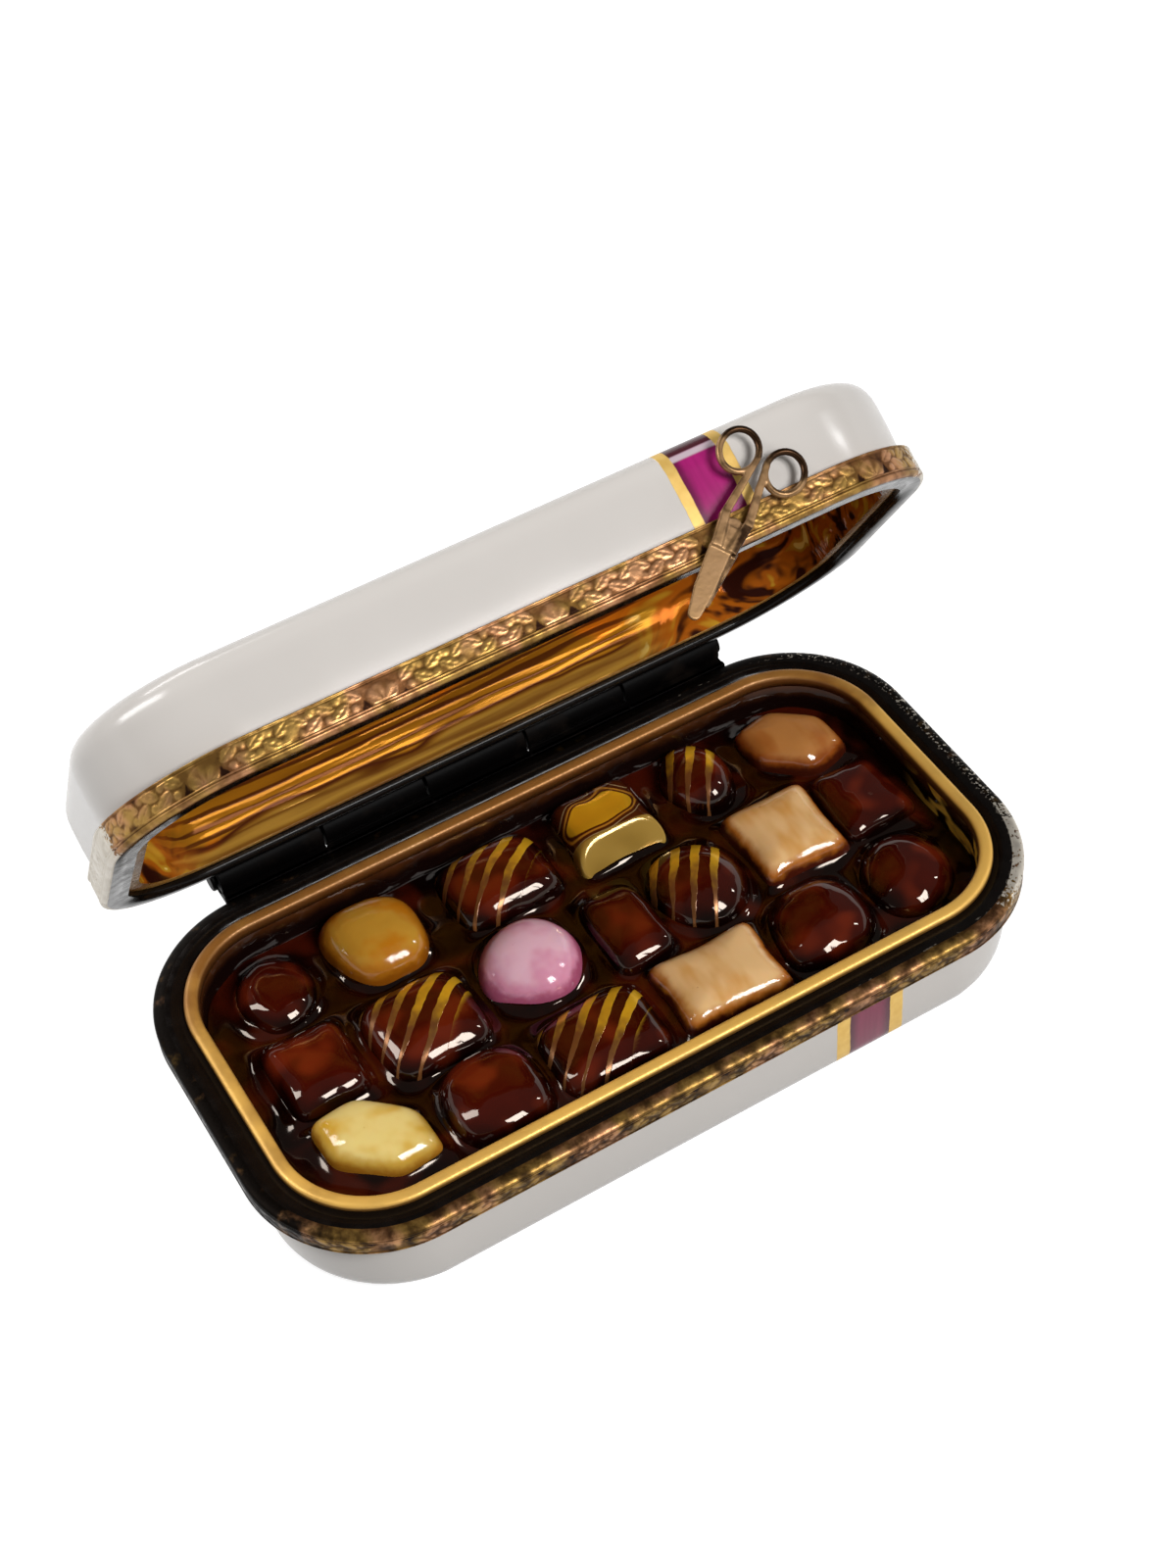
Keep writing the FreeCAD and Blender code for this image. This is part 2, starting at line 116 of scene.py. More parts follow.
# Painted ribbon along X, on the tray and on the lid: its two sides and the width of its gold edges
TRAY_RIBBON = (14.1 * MM, 21.5 * MM, 1.45 * MM)
LID_RIBBON = (15.0 * MM, 21.4 * MM, 1.05 * MM)


# Mesh helpers


def add_object(name, data):
    """A new object in the scene."""
    item = bpy.data.objects.new(name, data)
    bpy.context.scene.collection.objects.link(item)
    return item


def mark(mesh, name, numbers):
    """Put a number on every point, for a material to read."""
    mesh.attributes.new(name, "FLOAT", "POINT").data.foreach_set("value", np.asarray(numbers, np.float32))


def make_piece(name, points, faces, materials, face_materials=None, **attributes):
    """A smooth mesh object with outward faces, and numbers on its points for the materials."""
    mesh = bpy.data.meshes.new(name)
    mesh.from_pydata(np.asarray(points).tolist(), [], faces)
    for material in materials:
        mesh.materials.append(material)
    if face_materials is not None:
        mesh.polygons.foreach_set("material_index", face_materials)
    mesh.polygons.foreach_set("use_smooth", [True] * len(mesh.polygons))
    for key, numbers in attributes.items():
        mark(mesh, key, numbers)
    shape = bmesh.new()
    shape.from_mesh(mesh)
    bmesh.ops.recalc_face_normals(shape, faces=shape.faces)
    shape.to_mesh(mesh)
    shape.free()
    return add_object(name, mesh)


def keep_flats_flat(piece):
    """Let large faces set the shading, so that only the bends look bent."""
    piece.modifiers.new("flat_faces", "WEIGHTED_NORMAL").weight = 100


def dress(piece, node):
    """Let a piece stand for a CAD node: same body, and opened with the lid."""
    record = frame["record"]
    body = next(name for name, members in record["behaviour"]["bodies"].items() if node in members)
    slot = next(row["material_slot"] for row in record["subparts"] if row["node"] == node)
    if body == "lid":
        piece.data.transform(OPEN)
    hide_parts(node)
    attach(piece, body)


def circle(count):
    """Evenly spaced angles round a circle."""
    return np.linspace(0, 2 * math.pi, count, endpoint=False)


def turned(x, y, angle):
    """X and Y after a turn about Z."""
    cosine, sine = math.cos(angle), math.sin(angle)
    return x * cosine - y * sine, x * sine + y * cosine


def ring(half_x, half_y, corner, spacing):
    """Evenly spaced places round a rounded rectangle, which way is out there, and how far along they are."""
    flat_x = half_x - corner
    flat_y = half_y - corner
    quarter = corner * math.pi / 2
    straight = 2 * np.array([flat_y, flat_x, flat_y, flat_x])
    ends = np.cumsum(straight + quarter)
    count = round(ends[-1] / spacing)
    along = np.arange(count) * ends[-1] / count
    side = np.searchsorted(ends, along, side="right")
    past_start = along - (ends - straight - quarter)[side]
    on_line = np.minimum(past_start, straight[side])
    turn = side * math.pi / 2
    angle = turn + (past_start - on_line) / corner
    outward = np.column_stack([np.cos(angle), np.sin(angle)])
    ahead = np.column_stack([-np.sin(turn), np.cos(turn)])
    starts = np.array([(flat_x, -flat_y), (flat_x, flat_y), (-flat_x, flat_y), (-flat_x, -flat_y)])
    return starts[side] + ahead * on_line[:, None] + corner * outward, outward, along


def rounded(corners, closed=False):
    """A path through (inset, height, bend) corners, each turned by a smooth bend of that size."""
    bend_steps = np.linspace(0, 1, 9)
    flat = [np.array(corner[:2]) for corner in corners]
    path = []
    for index, (here, corner) in enumerate(zip(flat, corners)):
        bend = corner[2]
        at_end = not closed and index in (0, len(flat) - 1)
        if at_end or bend == 0:
            path.append(here)
            continue
        back = flat[index - 1] - here
        onward = flat[(index + 1) % len(flat)] - here
        back = back / np.linalg.norm(back) * bend
        onward = onward / np.linalg.norm(onward) * bend
        path += [here + back * (1 - t) ** 2 + onward * t ** 2 for t in bend_steps]
    return path


def strip(first, second, count):
    """Faces between two closed rows of points, from the number of the first point in each."""
    here = np.arange(count)
    after = (here + 1) % count
    return np.column_stack([first + here, first + after, second + after, second + here]).tolist()


def sweep(track, path, closed):
    """Carry a path of (inset, height) pairs round a ring. An inset may change along the ring.

    A path that isn't closed ends in two caps, which are the last two faces.
    """
    places, outward = track[:2]
    count = len(places)
    rows = [
        np.column_stack([places - outward * np.reshape(inset, (-1, 1)), np.full(count, height)])
        for inset, height in path
    ]
    faces = []
    for row in range(len(path) if closed else len(path) - 1):
        faces += strip(row * count, (row + 1) % len(path) * count, count)
    if not closed:
        faces.append(list(range(count)))
        faces.append(list(range((len(path) - 1) * count, len(path) * count)))
    return np.concatenate(rows), faces


# Material helpers


class Signal:
    """Output of a shader node. Arithmetic on it adds nodes to the same tree."""

    def __init__(self, socket):
        self.socket = socket
        self.tree = socket.id_data

    def __add__(self, other):
        return calc("ADD", self, other)

    def __sub__(self, other):
        return calc("SUBTRACT", self, other)

    def __rsub__(self, other):
        return calc("SUBTRACT", other, self)

    def __mul__(self, other):
        return calc("MULTIPLY", self, other)


def feed(given, socket):
    """Link a signal to a socket, or set a constant on it."""
    if isinstance(given, Signal):
        given.tree.links.new(given.socket, socket)
    else:
        socket.default_value = given


def add_node(tree, kind, settings=None, **inputs):
    """A shader node with some settings, its inputs fed by their names."""
    item = tree.nodes.new("ShaderNode" + kind)
    for key, setting in (settings or {}).items():
        setattr(item, key, setting)
    for key, given in inputs.items():
        feed(given, item.inputs[key.replace("_", " ")])
    return item


def calc(operation, first, second=0.0):
    """A maths node on two numbers, at least one of them a signal."""
    owner = first if isinstance(first, Signal) else second
    item = add_node(owner.tree, "Math", {"operation": operation})
    feed(first, item.inputs[0])
    feed(second, item.inputs[1])
    return Signal(item.outputs[0])


def blend(share, first, second):
    """Mix two colours."""
    item = add_node(share.tree, "Mix", {"data_type": "RGBA"})
    feed(share, item.inputs[0])
    for given, socket in ((first, item.inputs[6]), (second, item.inputs[7])):
        feed(given if isinstance(given, Signal) else (*given, 1.0), socket)
    return Signal(item.outputs[2])


def ramp(given, low, high, start=0.0, end=1.0):
    """Carry a number smoothly from one span to another."""
    spans = {"From_Min": low, "From_Max": high, "To_Min": start, "To_Max": end}
    item = add_node(given.tree, "MapRange", {"interpolation_type": "SMOOTHSTEP"}, Value=given, **spans)
    return Signal(item.outputs[0])


def vary(clouds, start=0.0, end=1.0):
    """Carry the usual span of a noise to another."""
    return ramp(clouds, 0.3, 0.7, start, end)


def stain(clouds, start, end):
    """Carry the whole span of a noise to another."""
    return ramp(clouds, 0.2, 0.8, start, end)


def within(given, low, high, soft):
    """One between two values, nothing outside them."""
    return ramp(given, low - soft, low + soft) * ramp(given, high - soft, high + soft, 1.0, 0.0)


def noise(place, size, detail=3.0, stretch=(1.0, 1.0, 1.0), twist=0.0):
    """Cloudy noise whose clouds are about a size across, drawn out along some axes, and twisted."""
    scale = [1 / (size * factor) for factor in stretch]
    moved = Signal(add_node(place.tree, "Mapping", Vector=place, Scale=scale).outputs[0])
    clouds = add_node(place.tree, "TexNoise", Vector=moved, Scale=1.0, Detail=detail, Distortion=twist)
    return Signal(clouds.outputs[0])


def streaks(place, pitch, bend):
    """Bands about a pitch apart along Y, drawn out along X and bent by noise."""
    turn = 0.314 / pitch
    moved = Signal(add_node(place.tree, "Mapping", Vector=place, Scale=(turn / 12, turn, turn)).outputs[0])
    bands = add_node(place.tree, "TexWave", {"bands_direction": "Y"}, Vector=moved, Scale=1.0,
                     Distortion=bend, Detail=3.0, Detail_Scale=1.4)
    return Signal(bands.outputs["Fac"])


def attribute(place, name):
    """A number that a mesh has on its points."""
    return Signal(add_node(place.tree, "Attribute", {"attribute_name": name}).outputs["Fac"])


def axes(place):
    """X, Y and Z of a place."""
    return [Signal(part) for part in add_node(place.tree, "SeparateXYZ", Vector=place).outputs]


def closed_height(place):
    """Height of a place on the lid when the lid is closed."""
    up = OPEN.to_3x3() @ Vector((0, 0, 1))
    item = add_node(place.tree, "VectorMath", {"operation": "DOT_PRODUCT"})
    feed(place, item.inputs[0])
    feed(up, item.inputs[1])
    return Signal(item.outputs["Value"]) - up.dot(OPEN.translation)


def new_material(name, **constants):
    """A principled material with its constant values, and the place in the frame that it colours."""
    material = bpy.data.materials.new(name)
    material.use_nodes = True
    tree = material.node_tree
    for key, constant in constants.items():
        feed(constant, tree.nodes["Principled BSDF"].inputs[key.replace("_", " ")])
    return material, Signal(add_node(tree, "TexCoord").outputs["Object"])


def paint(material, colour, metal, roughness, height, depth):
    """Feed a material's colour, metal and roughness, and bump it by a height as deep as a depth."""
    inputs = material.node_tree.nodes["Principled BSDF"].inputs
    feed(colour, inputs["Base Color"])
    feed(metal, inputs["Metallic"])
    feed(roughness, inputs["Roughness"])
    bump = add_node(height.tree, "Bump", Height=height, Strength=1.0, Distance=depth)
    feed(Signal(bump.outputs[0]), inputs["Normal"])
    return material


# Materials

GLAZE_IOR = 1.52
# Tint of what the dark glazes reflect
WARM_GLOSS = (1.0, 0.87, 0.76, 1.0)


def porcelain(name, ribbon_span, silk_dark, silk_light, fold_light_and_shade):
    """White glaze with the painted ribbon and its gold edges.

    On the lid the ribbon has a painted highlight where it turns over the top edge, and painted shade above it.
    """
    low, high, edge = ribbon_span
    material, place = new_material(name, IOR=GLAZE_IOR)
    x, _, z = axes(place)
    across = x + noise(place, 1.4 * MM) * (0.22 * MM)
    above_foot = ramp(z, 0.5 * MM, 0.7 * MM)
    ribbon = within(across, low, high, 0.05 * MM) * above_foot
    silk = within(across, low + edge, high - edge, 0.06 * MM)
    gold = ribbon * (1.0 - silk)
    clouds = noise(place, 16 * MM)
    white = blend(clouds, (0.625, 0.588, 0.552), (0.67, 0.632, 0.595))
    strokes = noise(place, 1.2 * MM, 4.0, (0.4, 4.0, 4.0))
    silk_paint = blend(strokes, silk_dark, silk_light)
    margin = edge + 0.6 * MM
    heart = within(across, low + margin, high - margin, 0.5 * MM)
    silk_paint = blend(heart, [0.5 * part for part in silk_dark], silk_paint)
    if fold_light_and_shade:
        height = closed_height(place)
        # painted shade: the ribbon is dark above the lid's top edge
        over_edge_shade = ramp(height, LID_TOP - 1.4 * MM, LID_TOP - 1.2 * MM)
        silk_paint = blend(over_edge_shade, silk_paint, (0.065, 0.010, 0.018))
        # painted highlight: a pale band where the ribbon turns over the top edge
        fold_highlight = within(height, LID_TOP - 1.9 * MM, LID_TOP - 1.3 * MM, 0.12 * MM)
        silk_paint = blend(fold_highlight, silk_paint, (0.55, 0.44, 0.49))
    gold_paint = blend(noise(place, 0.9 * MM), (0.72, 0.42, 0.08), (0.92, 0.64, 0.20))
    colour = blend(ribbon, white, blend(silk, gold_paint, silk_paint))
    roughness = vary(clouds, 0.20, 0.26) + gold * 0.25
    film = ribbon * 0.6 + noise(place, 9 * MM, 1.0)
    return paint(material, colour, gold * 0.35, roughness, film, 0.05 * MM)


def wall_glaze():
    """Dark brown glaze on the tray's inner wall: amber under the collar, gold in the right front corner."""
    material, place = new_material("wall_glaze", Specular_IOR_Level=0.20)
    x, y, z = axes(place)
    ragged = z + noise(place, 3 * MM) * (2.0 * MM)
    thin = ramp(ragged, BED_TOP + 2.6 * MM, SHELL_TOP + 1.6 * MM)
    brown = blend(thin, (0.006, 0.0018, 0.0014), (0.075, 0.022, 0.005))
    spilt = ramp(noise(place, 3.2 * MM, 1.0, (1.0, 1.0, 0.6)), 0.46, 0.56)
    gilt = spilt * ramp(x - y, 35 * MM, 42 * MM)
    colour = blend(gilt, brown, (1.0, 0.66, 0.10))
    roughness = vary(noise(place, 2 * MM), 0.04, 0.10)
    return paint(material, colour, gilt * 0.1, roughness, noise(place, 2.5 * MM, 2.0), 0.08 * MM)


def collar_gold():
    """Satin gilding: bright in front, with painted shade that turns it brown towards the hinge and the left end
    and dark down its sides.
    """
    material, place = new_material("lip_gold")
    x, y, z = axes(place)
    clouds = noise(place, 4 * MM)
    fine = noise(place, 0.22 * MM)
    # painted shade: brown towards the hinge and the left end, varied by clouds
    back = ramp(y, 2 * MM, 16 * MM)
    left = ramp(x, -33 * MM, -37 * MM, 0.0, 0.25)
    brown = calc("MAXIMUM", back, left) + vary(clouds, -0.22, 0.22)
    bright = blend(clouds, (0.87, 0.47, 0.085), (0.98, 0.61, 0.145))
    body = blend(ramp(brown, 0.0, 1.0), bright, (0.36, 0.155, 0.03))
    # painted shade: dark down the collar's sides
    side = ramp(z, lip_high.z - 0.08 * MM, lip_high.z - 0.42 * MM, 0.0, 0.85)
    body = blend(side, body, (0.13, 0.040, 0.007))
    return paint(material, body, vary(clouds, 0.20, 0.38), vary(fine, 0.34, 0.48), fine, 0.012 * MM)


def ledge_gilding():
    """Pitted, duller gilding on the lid's ledge."""
    material, place = new_material("ledge_gold")
    clouds = noise(place, 5 * MM)
    pits = noise(place, 0.35 * MM, 2.0, (1.6, 1.0, 1.0))
    body = blend(vary(clouds), (0.20, 0.085, 0.018), (0.42, 0.23, 0.055))
    return paint(material, body, vary(clouds, 0.30, 0.50), vary(pits, 0.22, 0.40), pits, 0.07 * MM)


def lid_gilding():
    """Gold lustre inside the lid.

    Its wall is olive next to the ledge, and above it has painted reflections: brown streaks, dark lines and orange
    clouds, swirled at both ends with yellow glints.
    Its ceiling is plain.
    """
    material, place = new_material("lid_gilding", Specular_IOR_Level=0.02)
    x, _, _ = axes(place)
    end = calc("MAXIMUM", ramp(x, 17 * MM, 24 * MM), ramp(x, -28 * MM, -35 * MM))
    # painted reflections in the lustre: broad and thin streaks, orange clouds and dark lines
    broad = streaks(place, 4.5 * MM, 9.0)
    thin = streaks(place, 0.9 * MM, 7.0)
    clouds = noise(place, 6 * MM, 2.0, (2.5, 1.0, 1.0))
    body = blend(ramp(broad, 0.15, 0.85), (0.10, 0.026, 0.003), (0.44, 0.175, 0.010))
    body = blend(ramp(clouds, 0.55, 0.62), body, (0.66, 0.17, 0.008))
    height = closed_height(place)
    wavy_height = height + vary(clouds, -0.7 * MM, 0.7 * MM)
    low = ramp(wavy_height, LID_SEAT + 1.9 * MM, LID_SEAT + 1.1 * MM)
    body = blend(low, body, blend(thin, (0.42, 0.22, 0.032), (0.20, 0.08, 0.011)))
    border = within(wavy_height, LID_SEAT + 1.4 * MM, LID_SEAT + 2.0 * MM, 0.2 * MM)
    line = calc("MAXIMUM", ramp(thin, 0.50, 0.85, 0.0, 0.85), border) * (1.0 - low)
    body = blend(line, body, (0.065, 0.011, 0.004))
    # painted reflections swirled at both ends, with painted yellow glints
    swirl = noise(place, 6 * MM, 2.0, (1.6, 1.0, 1.0), 2.2)
    swirl_reflections = blend(ramp(swirl, 0.38, 0.50), (0.030, 0.006, 0.003), (0.42, 0.105, 0.006))
    swirl_reflections = blend(ramp(swirl, 0.53, 0.62), swirl_reflections, (0.56, 0.29, 0.02))
    swirl_reflections = blend(ramp(swirl, 0.64, 0.67), swirl_reflections, (0.95, 0.72, 0.20))
    body = blend(end, body, swirl_reflections)
    ceiling = ramp(height, LID_CEILING - 1.3 * MM, LID_CEILING - 0.1 * MM)
    lustre = blend(vary(clouds), (0.28, 0.100, 0.007), (0.42, 0.185, 0.020))
    body = blend(ceiling, body, lustre)
    metal = vary(clouds, 0.06, 0.14) + ceiling * 0.5
    roughness = ramp(broad, 0.0, 1.0, 0.06, 0.11) + ceiling * 0.14
    ridges = (broad + thin * 0.3) * (1.0 - end) + swirl * 3.0 * end
    return paint(material, body, metal, roughness, ridges * (1.0 - ceiling), 0.09 * MM)


def band_bronze():
    """Worn gilt bronze: gold or rosy on the ornament's crowns, brown on its ground, dark in its notches.

    Away from its lit side it is painted near black as a dark reflection, and it is specked with silver on some
    sides, partly wear and partly painted sheen.
    """
    material, place = new_material("band_bronze", Specular_IOR_Level=0.04)
    wear = noise(place, 1.3 * MM, 4.0)
    raised = attribute(place, "relief") + stain(wear, -0.28, 0.28)
    rosy = ramp(noise(place, 4 * MM), 0.42, 0.62)
    crown = blend(rosy, (0.40, 0.235, 0.062), (0.52, 0.26, 0.125))
    ground = blend(rosy, (0.14, 0.070, 0.017), (0.16, 0.066, 0.024))
    body = blend(ramp(raised, 0.30, 0.95), ground, crown)
    body = blend(ramp(raised, 0.02, 0.28), (0.022, 0.008, 0.004), body)
    # painted dark reflection: near black except on the base band's lit side, broken by wear noise
    rubbed = attribute(place, "rubbed") + stain(wear, -0.22, 0.22)
    body = blend(ramp(rubbed, 0.05, 0.75), (0.004, 0.0026, 0.0018), body)
    # silver speckling on the sides that face its way: partly wear, partly painted sheen
    grain = noise(place, 0.35 * MM)
    specks_and_sheen = attribute(place, "bare") * 1.5 + stain(grain, -0.6, 0.4)
    body = blend(ramp(specks_and_sheen, 0.36, 0.56), body, (0.62, 0.57, 0.49))
    roughness = ramp(raised, 0.2, 1.1, 0.50, 0.30)
    return paint(material, body, vary(wear, 0.55, 0.75), roughness, grain, 0.02 * MM)


def land_bronze():
    """Polished land painted near black as a dark reflection, worn to grey metal in pits along its outer edge."""
    material, place = new_material("land_bronze", Specular_IOR_Level=0.14)
    scratches = noise(place, 1.5 * MM, 5.0)
    pits = noise(place, 0.4 * MM, 2.0, (2.5, 1.0, 1.0))
    worn = ramp(attribute(place, "wear") + stain(pits, -1.1, 0.1), 0.25, 0.60)
    # painted dark reflection on the polished land
    black = blend(scratches, (0.002, 0.0015, 0.0015), (0.008, 0.006, 0.005))
    body = blend(worn, black, (0.30, 0.26, 0.21))
    return paint(material, body, worn * 0.9, vary(scratches, 0.12, 0.26), worn, 0.02 * MM)


def hinge_bronze():
    """Blackened metal with a few rubbed, slightly lighter patches."""
    material, place = new_material("hinge_bronze", Specular_IOR_Level=0.03)
    rub = ramp(noise(place, 3 * MM, 6.0), 0.52, 0.74)
    body = blend(rub, (0.0015, 0.0012, 0.0012), (0.007, 0.005, 0.004))
    roughness = ramp(rub, 0.0, 1.0, 0.42, 0.55)
    return paint(material, body, rub * 0.1, roughness, noise(place, 0.3 * MM, 4.0), 0.012 * MM)


def clasp_brass():
    """Worn cast brass: rubbed and rosy on the blade, brown on the loops and at the sides."""
    material, place = new_material("clasp_brass")
    grime = attribute(place, "grime") + stain(noise(place, 1.2 * MM, 4.0), -0.3, 0.3)
    rubbed = blend(noise(place, 2.5 * MM), (0.27, 0.15, 0.05), (0.38, 0.22, 0.11))
    body = blend(ramp(grime, 0.2, 0.9), rubbed, (0.040, 0.018, 0.007))
    metal = ramp(grime, 0.0, 1.0, 0.62, 0.90)
    roughness = ramp(grime, 0.0, 1.0, 0.40, 0.30)
    return paint(material, body, metal, roughness, noise(place, 0.4 * MM), 0.012 * MM)


def chocolate_colour(place):
    """Glaze that is near black where it pools, red brown where it runs thin over a crown, and amber in patches on
    the crowns, painted as reflections of the gilt lid.
    """
    crown = attribute(place, "crown")
    thin = ramp(crown + noise(place, 4.5 * MM), 0.65, 1.55)
    deep = blend(thin, (0.0035, 0.0006, 0.0004), (0.055, 0.0040, 0.0014))
    # painted reflection of the gilt lid: amber patches on the crowns
    amber = ramp(noise(place, 4.2 * MM, 1.0), 0.48, 0.68) * (crown * 0.8)
    return blend(amber, deep, (0.17, 0.018, 0.004))


def chocolate(name, dullest, swell):
    """Dark glaze: how rough its dullest patches are, and how high its surface swells."""
    material, place = new_material(name, IOR=GLAZE_IOR, Specular_Tint=WARM_GLOSS)
    roughness = ramp(noise(place, 5 * MM), 0.40, 0.60, 0.02, dullest)
    return paint(material, chocolate_colour(place), 0.0, roughness, noise(place, 2.8 * MM, 1.0), swell)


def striped():
    """Dark glaze under gold stripes drawn by hand: broad and bright at the back, thin and dull in front."""
    material, place = new_material("striped_glaze", IOR=GLAZE_IOR, Specular_Tint=WARM_GLOSS)
    pitch = 1.95 * MM
    run = attribute(place, "stripe_run")
    waver = noise(place, 6 * MM, 1.0) * (1.1 * MM)
    offset = calc("DIVIDE", attribute(place, "stripe_side") + waver, pitch)
    from_middle = calc("ABSOLUTE", calc("FRACT", offset) - 0.5)
    width = ramp(run, -0.95, 0.35, 0.08, 0.23) + stain(noise(place, 1.2 * MM, 2.0), -0.03, 0.03)
    stripe = ramp(width - from_middle, -0.01, 0.02) * attribute(place, "stripe_zone")
    bright = ramp(run + noise(place, 1.5 * MM, 2.0), 0.15, 1.0)
    leaf = blend(bright, (0.22, 0.085, 0.025), (0.95, 0.54, 0.025))
    colour = blend(stripe, chocolate_colour(place), leaf)
    roughness = ramp(stripe, 0.0, 1.0, 0.06, 0.25)
    swell = noise(place, 2.8 * MM, 1.0) + stripe * 0.12
    return paint(material, colour, stripe * 0.4, roughness, swell, 0.20 * MM)


def clouded(name, pale, patch, rim, foot, streak=(1.0, 1.0, 1.0)):
    """Coloured glaze: pale, with a second colour in patches, a third at its rim and a fourth at its foot."""
    material, place = new_material(
        name, IOR=GLAZE_IOR, Subsurface_Weight=0.20, Subsurface_Scale=0.5 * MM,
        Subsurface_Radius=(1.0, 0.5, 0.25))
    patches = ramp(noise(place, 3.4 * MM, 2.0, streak), 0.40, 0.70)
    edge = attribute(place, "crown") + noise(place, 1.5 * MM) * 0.4
    body = blend(patches, pale, patch)
    body = blend(ramp(edge, 0.97, 0.58), body, rim)
    body = blend(ramp(edge, 0.66, 0.42), body, foot)
    flecks = ramp(noise(place, 1.1 * MM, 2.0), 0.74, 0.80)
    body = blend(flecks * 0.6, body, rim)
    roughness = ramp(patches, 0.0, 1.0, 0.08, 0.14)
    return paint(material, body, 0.0, roughness, noise(place, 2.4 * MM, 2.0), 0.10 * MM)


def foil():
    """Gold lustre: a yellow pool on top, with brown and gold rings round it and an olive front facet that are
    painted reflections.
    """
    material, place = new_material("foil_gold")
    x = attribute(place, "own_x")
    y = attribute(place, "own_y")
    folds = noise(place, 3.4 * MM, 0.0)
    from_pool = y - 0.22
    out = calc("SQRT", x * x + from_pool * from_pool * 3.2)
    rings = out + ramp(folds, 0.25, 0.75, -0.40, 0.40)
    gold = blend(folds, (0.70, 0.34, 0.012), (0.90, 0.52, 0.020))
    # painted reflections: dark, brown and pale rings round the pool
    body = blend(ramp(rings, 0.62, 0.70), gold, (0.085, 0.016, 0.003))
    body = blend(within(rings, 0.84, 0.98, 0.05), body, (0.62, 0.27, 0.03))
    body = blend(within(rings, 1.24, 1.30, 0.03), body, (0.50, 0.36, 0.18))
    # painted reflection: olive on the front facet
    front = ramp(y + vary(folds, -0.06, 0.06), -0.40, -0.46)
    olive = blend(folds, (0.38, 0.21, 0.03), (0.50, 0.31, 0.06))
    body = blend(front, body, olive)
    return paint(material, body, vary(folds, 0.35, 0.20), vary(folds, 0.06, 0.12), folds, 0.18 * MM)


# Porcelain shells, mounts and collar

# The tray's ribbon silk is the lid's silk painted darker, as painted shade.
TRAY_WHITE = porcelain("tray_porcelain", TRAY_RIBBON, (0.18, 0.020, 0.055), (0.27, 0.035, 0.085), False)
LID_WHITE = porcelain("lid_porcelain", LID_RIBBON, (0.30, 0.008, 0.12), (0.48, 0.016, 0.20), True)
LAND_METAL = land_bronze()
BAND_METAL = band_bronze()
RIM = (HALF_X, HALF_Y, RIM_CORNER)
SMOOTH_TRACK = ring(*RIM, 0.5 * MM)
BAND_TRACK = ring(*RIM, 0.15 * MM)
END_TAPER = 1.0 * MM

# The cast ornament: its length, its ground among reliefs from 0 to 1, and the rows of the skirt
ORNAMENT_PERIOD = 16.0 * MM
GROUND = 0.35
SKIRT_ROWS = 36

# Sides of the mounts, by the way they face: the base band's lit side, outside which it is painted near black as a
# dark reflection, and the silver speckling, partly wear and partly painted sheen. Each gives how strong it is, the
# azimuth faced, and the cosines where it starts and where it is full.
BASE_LIT_SIDE = (0.44, 12.0, 0.12, 0.65)
BASE_SPECKS_AND_SHEEN = ((0.56, 58.0, 0.78, 0.97), (0.17, 105.0, 0.50, 0.80))
LID_SPECKS_AND_SHEEN = ((0.8, 90.0, 0.72, 0.92), (1.0, -100.0, 0.86, 0.96))


def make_shell(node_name, outside, inside, finishes, rim_finish):
    """A shell swept round the rim, its outside in the first finish and its inside in the last one."""
    points, faces = sweep(SMOOTH_TRACK, outside + inside, closed=False)
    inner = len(finishes) - 1
    rows = [0] * (len(outside) - 1) + [rim_finish] + [inner] * (len(inside) - 1)
    chosen = np.repeat(rows, len(SMOOTH_TRACK[0])).tolist() + [0, inner]
    piece = make_piece(f"{node_name}_glazed", points, faces, finishes, chosen)
    keep_flats_flat(piece)
    dress(piece, node_name)


def make_base_shell():
    """Tray with a rounded foot, whose ends taper towards it."""
    foot_edge, foot_bend = 6.0 * MM, 1.9 * MM
    floor_edge, floor_bend = 3.0 * MM, 0.6 * MM
    outside = rounded([
        (WALL_INSET + foot_edge, 0, 0),
        (WALL_INSET, 0, foot_bend),
        (WALL_INSET, SHELL_TOP, 0),
    ])
    inside = rounded([
        (TRAY_INSET, SHELL_TOP, 0),
        (TRAY_INSET, FLOOR, floor_bend),
        (TRAY_INSET + floor_edge, FLOOR, 0),
    ])
    end = END_TAPER * np.abs(SMOOTH_TRACK[1][:, 0])
    outside = [(inset + end * (1 - height / SHELL_TOP), height) for inset, height in outside]
    make_shell("base_shell", outside, inside, [TRAY_WHITE, wall_glaze()], 0)


def make_lid_shell():
    """Lid with a rounded top edge, a shoulder above its mount and a ledge at its seat."""
    wall = HALF_X - lid_high.x
    hollow = WALL_INSET + LID_WALL
    lean = 0.05 * MM
    top_edge, top_bend = 10 * MM, 3.2 * MM
    shoulder, shoulder_bend = 2.0 * MM, 1.4 * MM
    nook = 0.1 * MM
    ceiling_edge, ceiling_bend = 6 * MM, 2.6 * MM
    outside = rounded([
        (wall + top_edge, LID_TOP, 0),
        (wall, LID_TOP, top_bend),
        (wall + lean, LID_SKIRT_TOP + shoulder, shoulder_bend),
        (WALL_INSET + lean, LID_SKIRT_TOP + nook, nook),
        (WALL_INSET, LID_SEAT, 0),
    ])
    inside = rounded([
        (hollow, LID_SEAT, 0),
        (hollow, LID_CEILING, ceiling_bend),
        (hollow + ceiling_edge, LID_CEILING, 0),
    ])
    make_shell("lid_shell", outside, inside, [LID_WHITE, ledge_gilding(), lid_gilding()], 1)


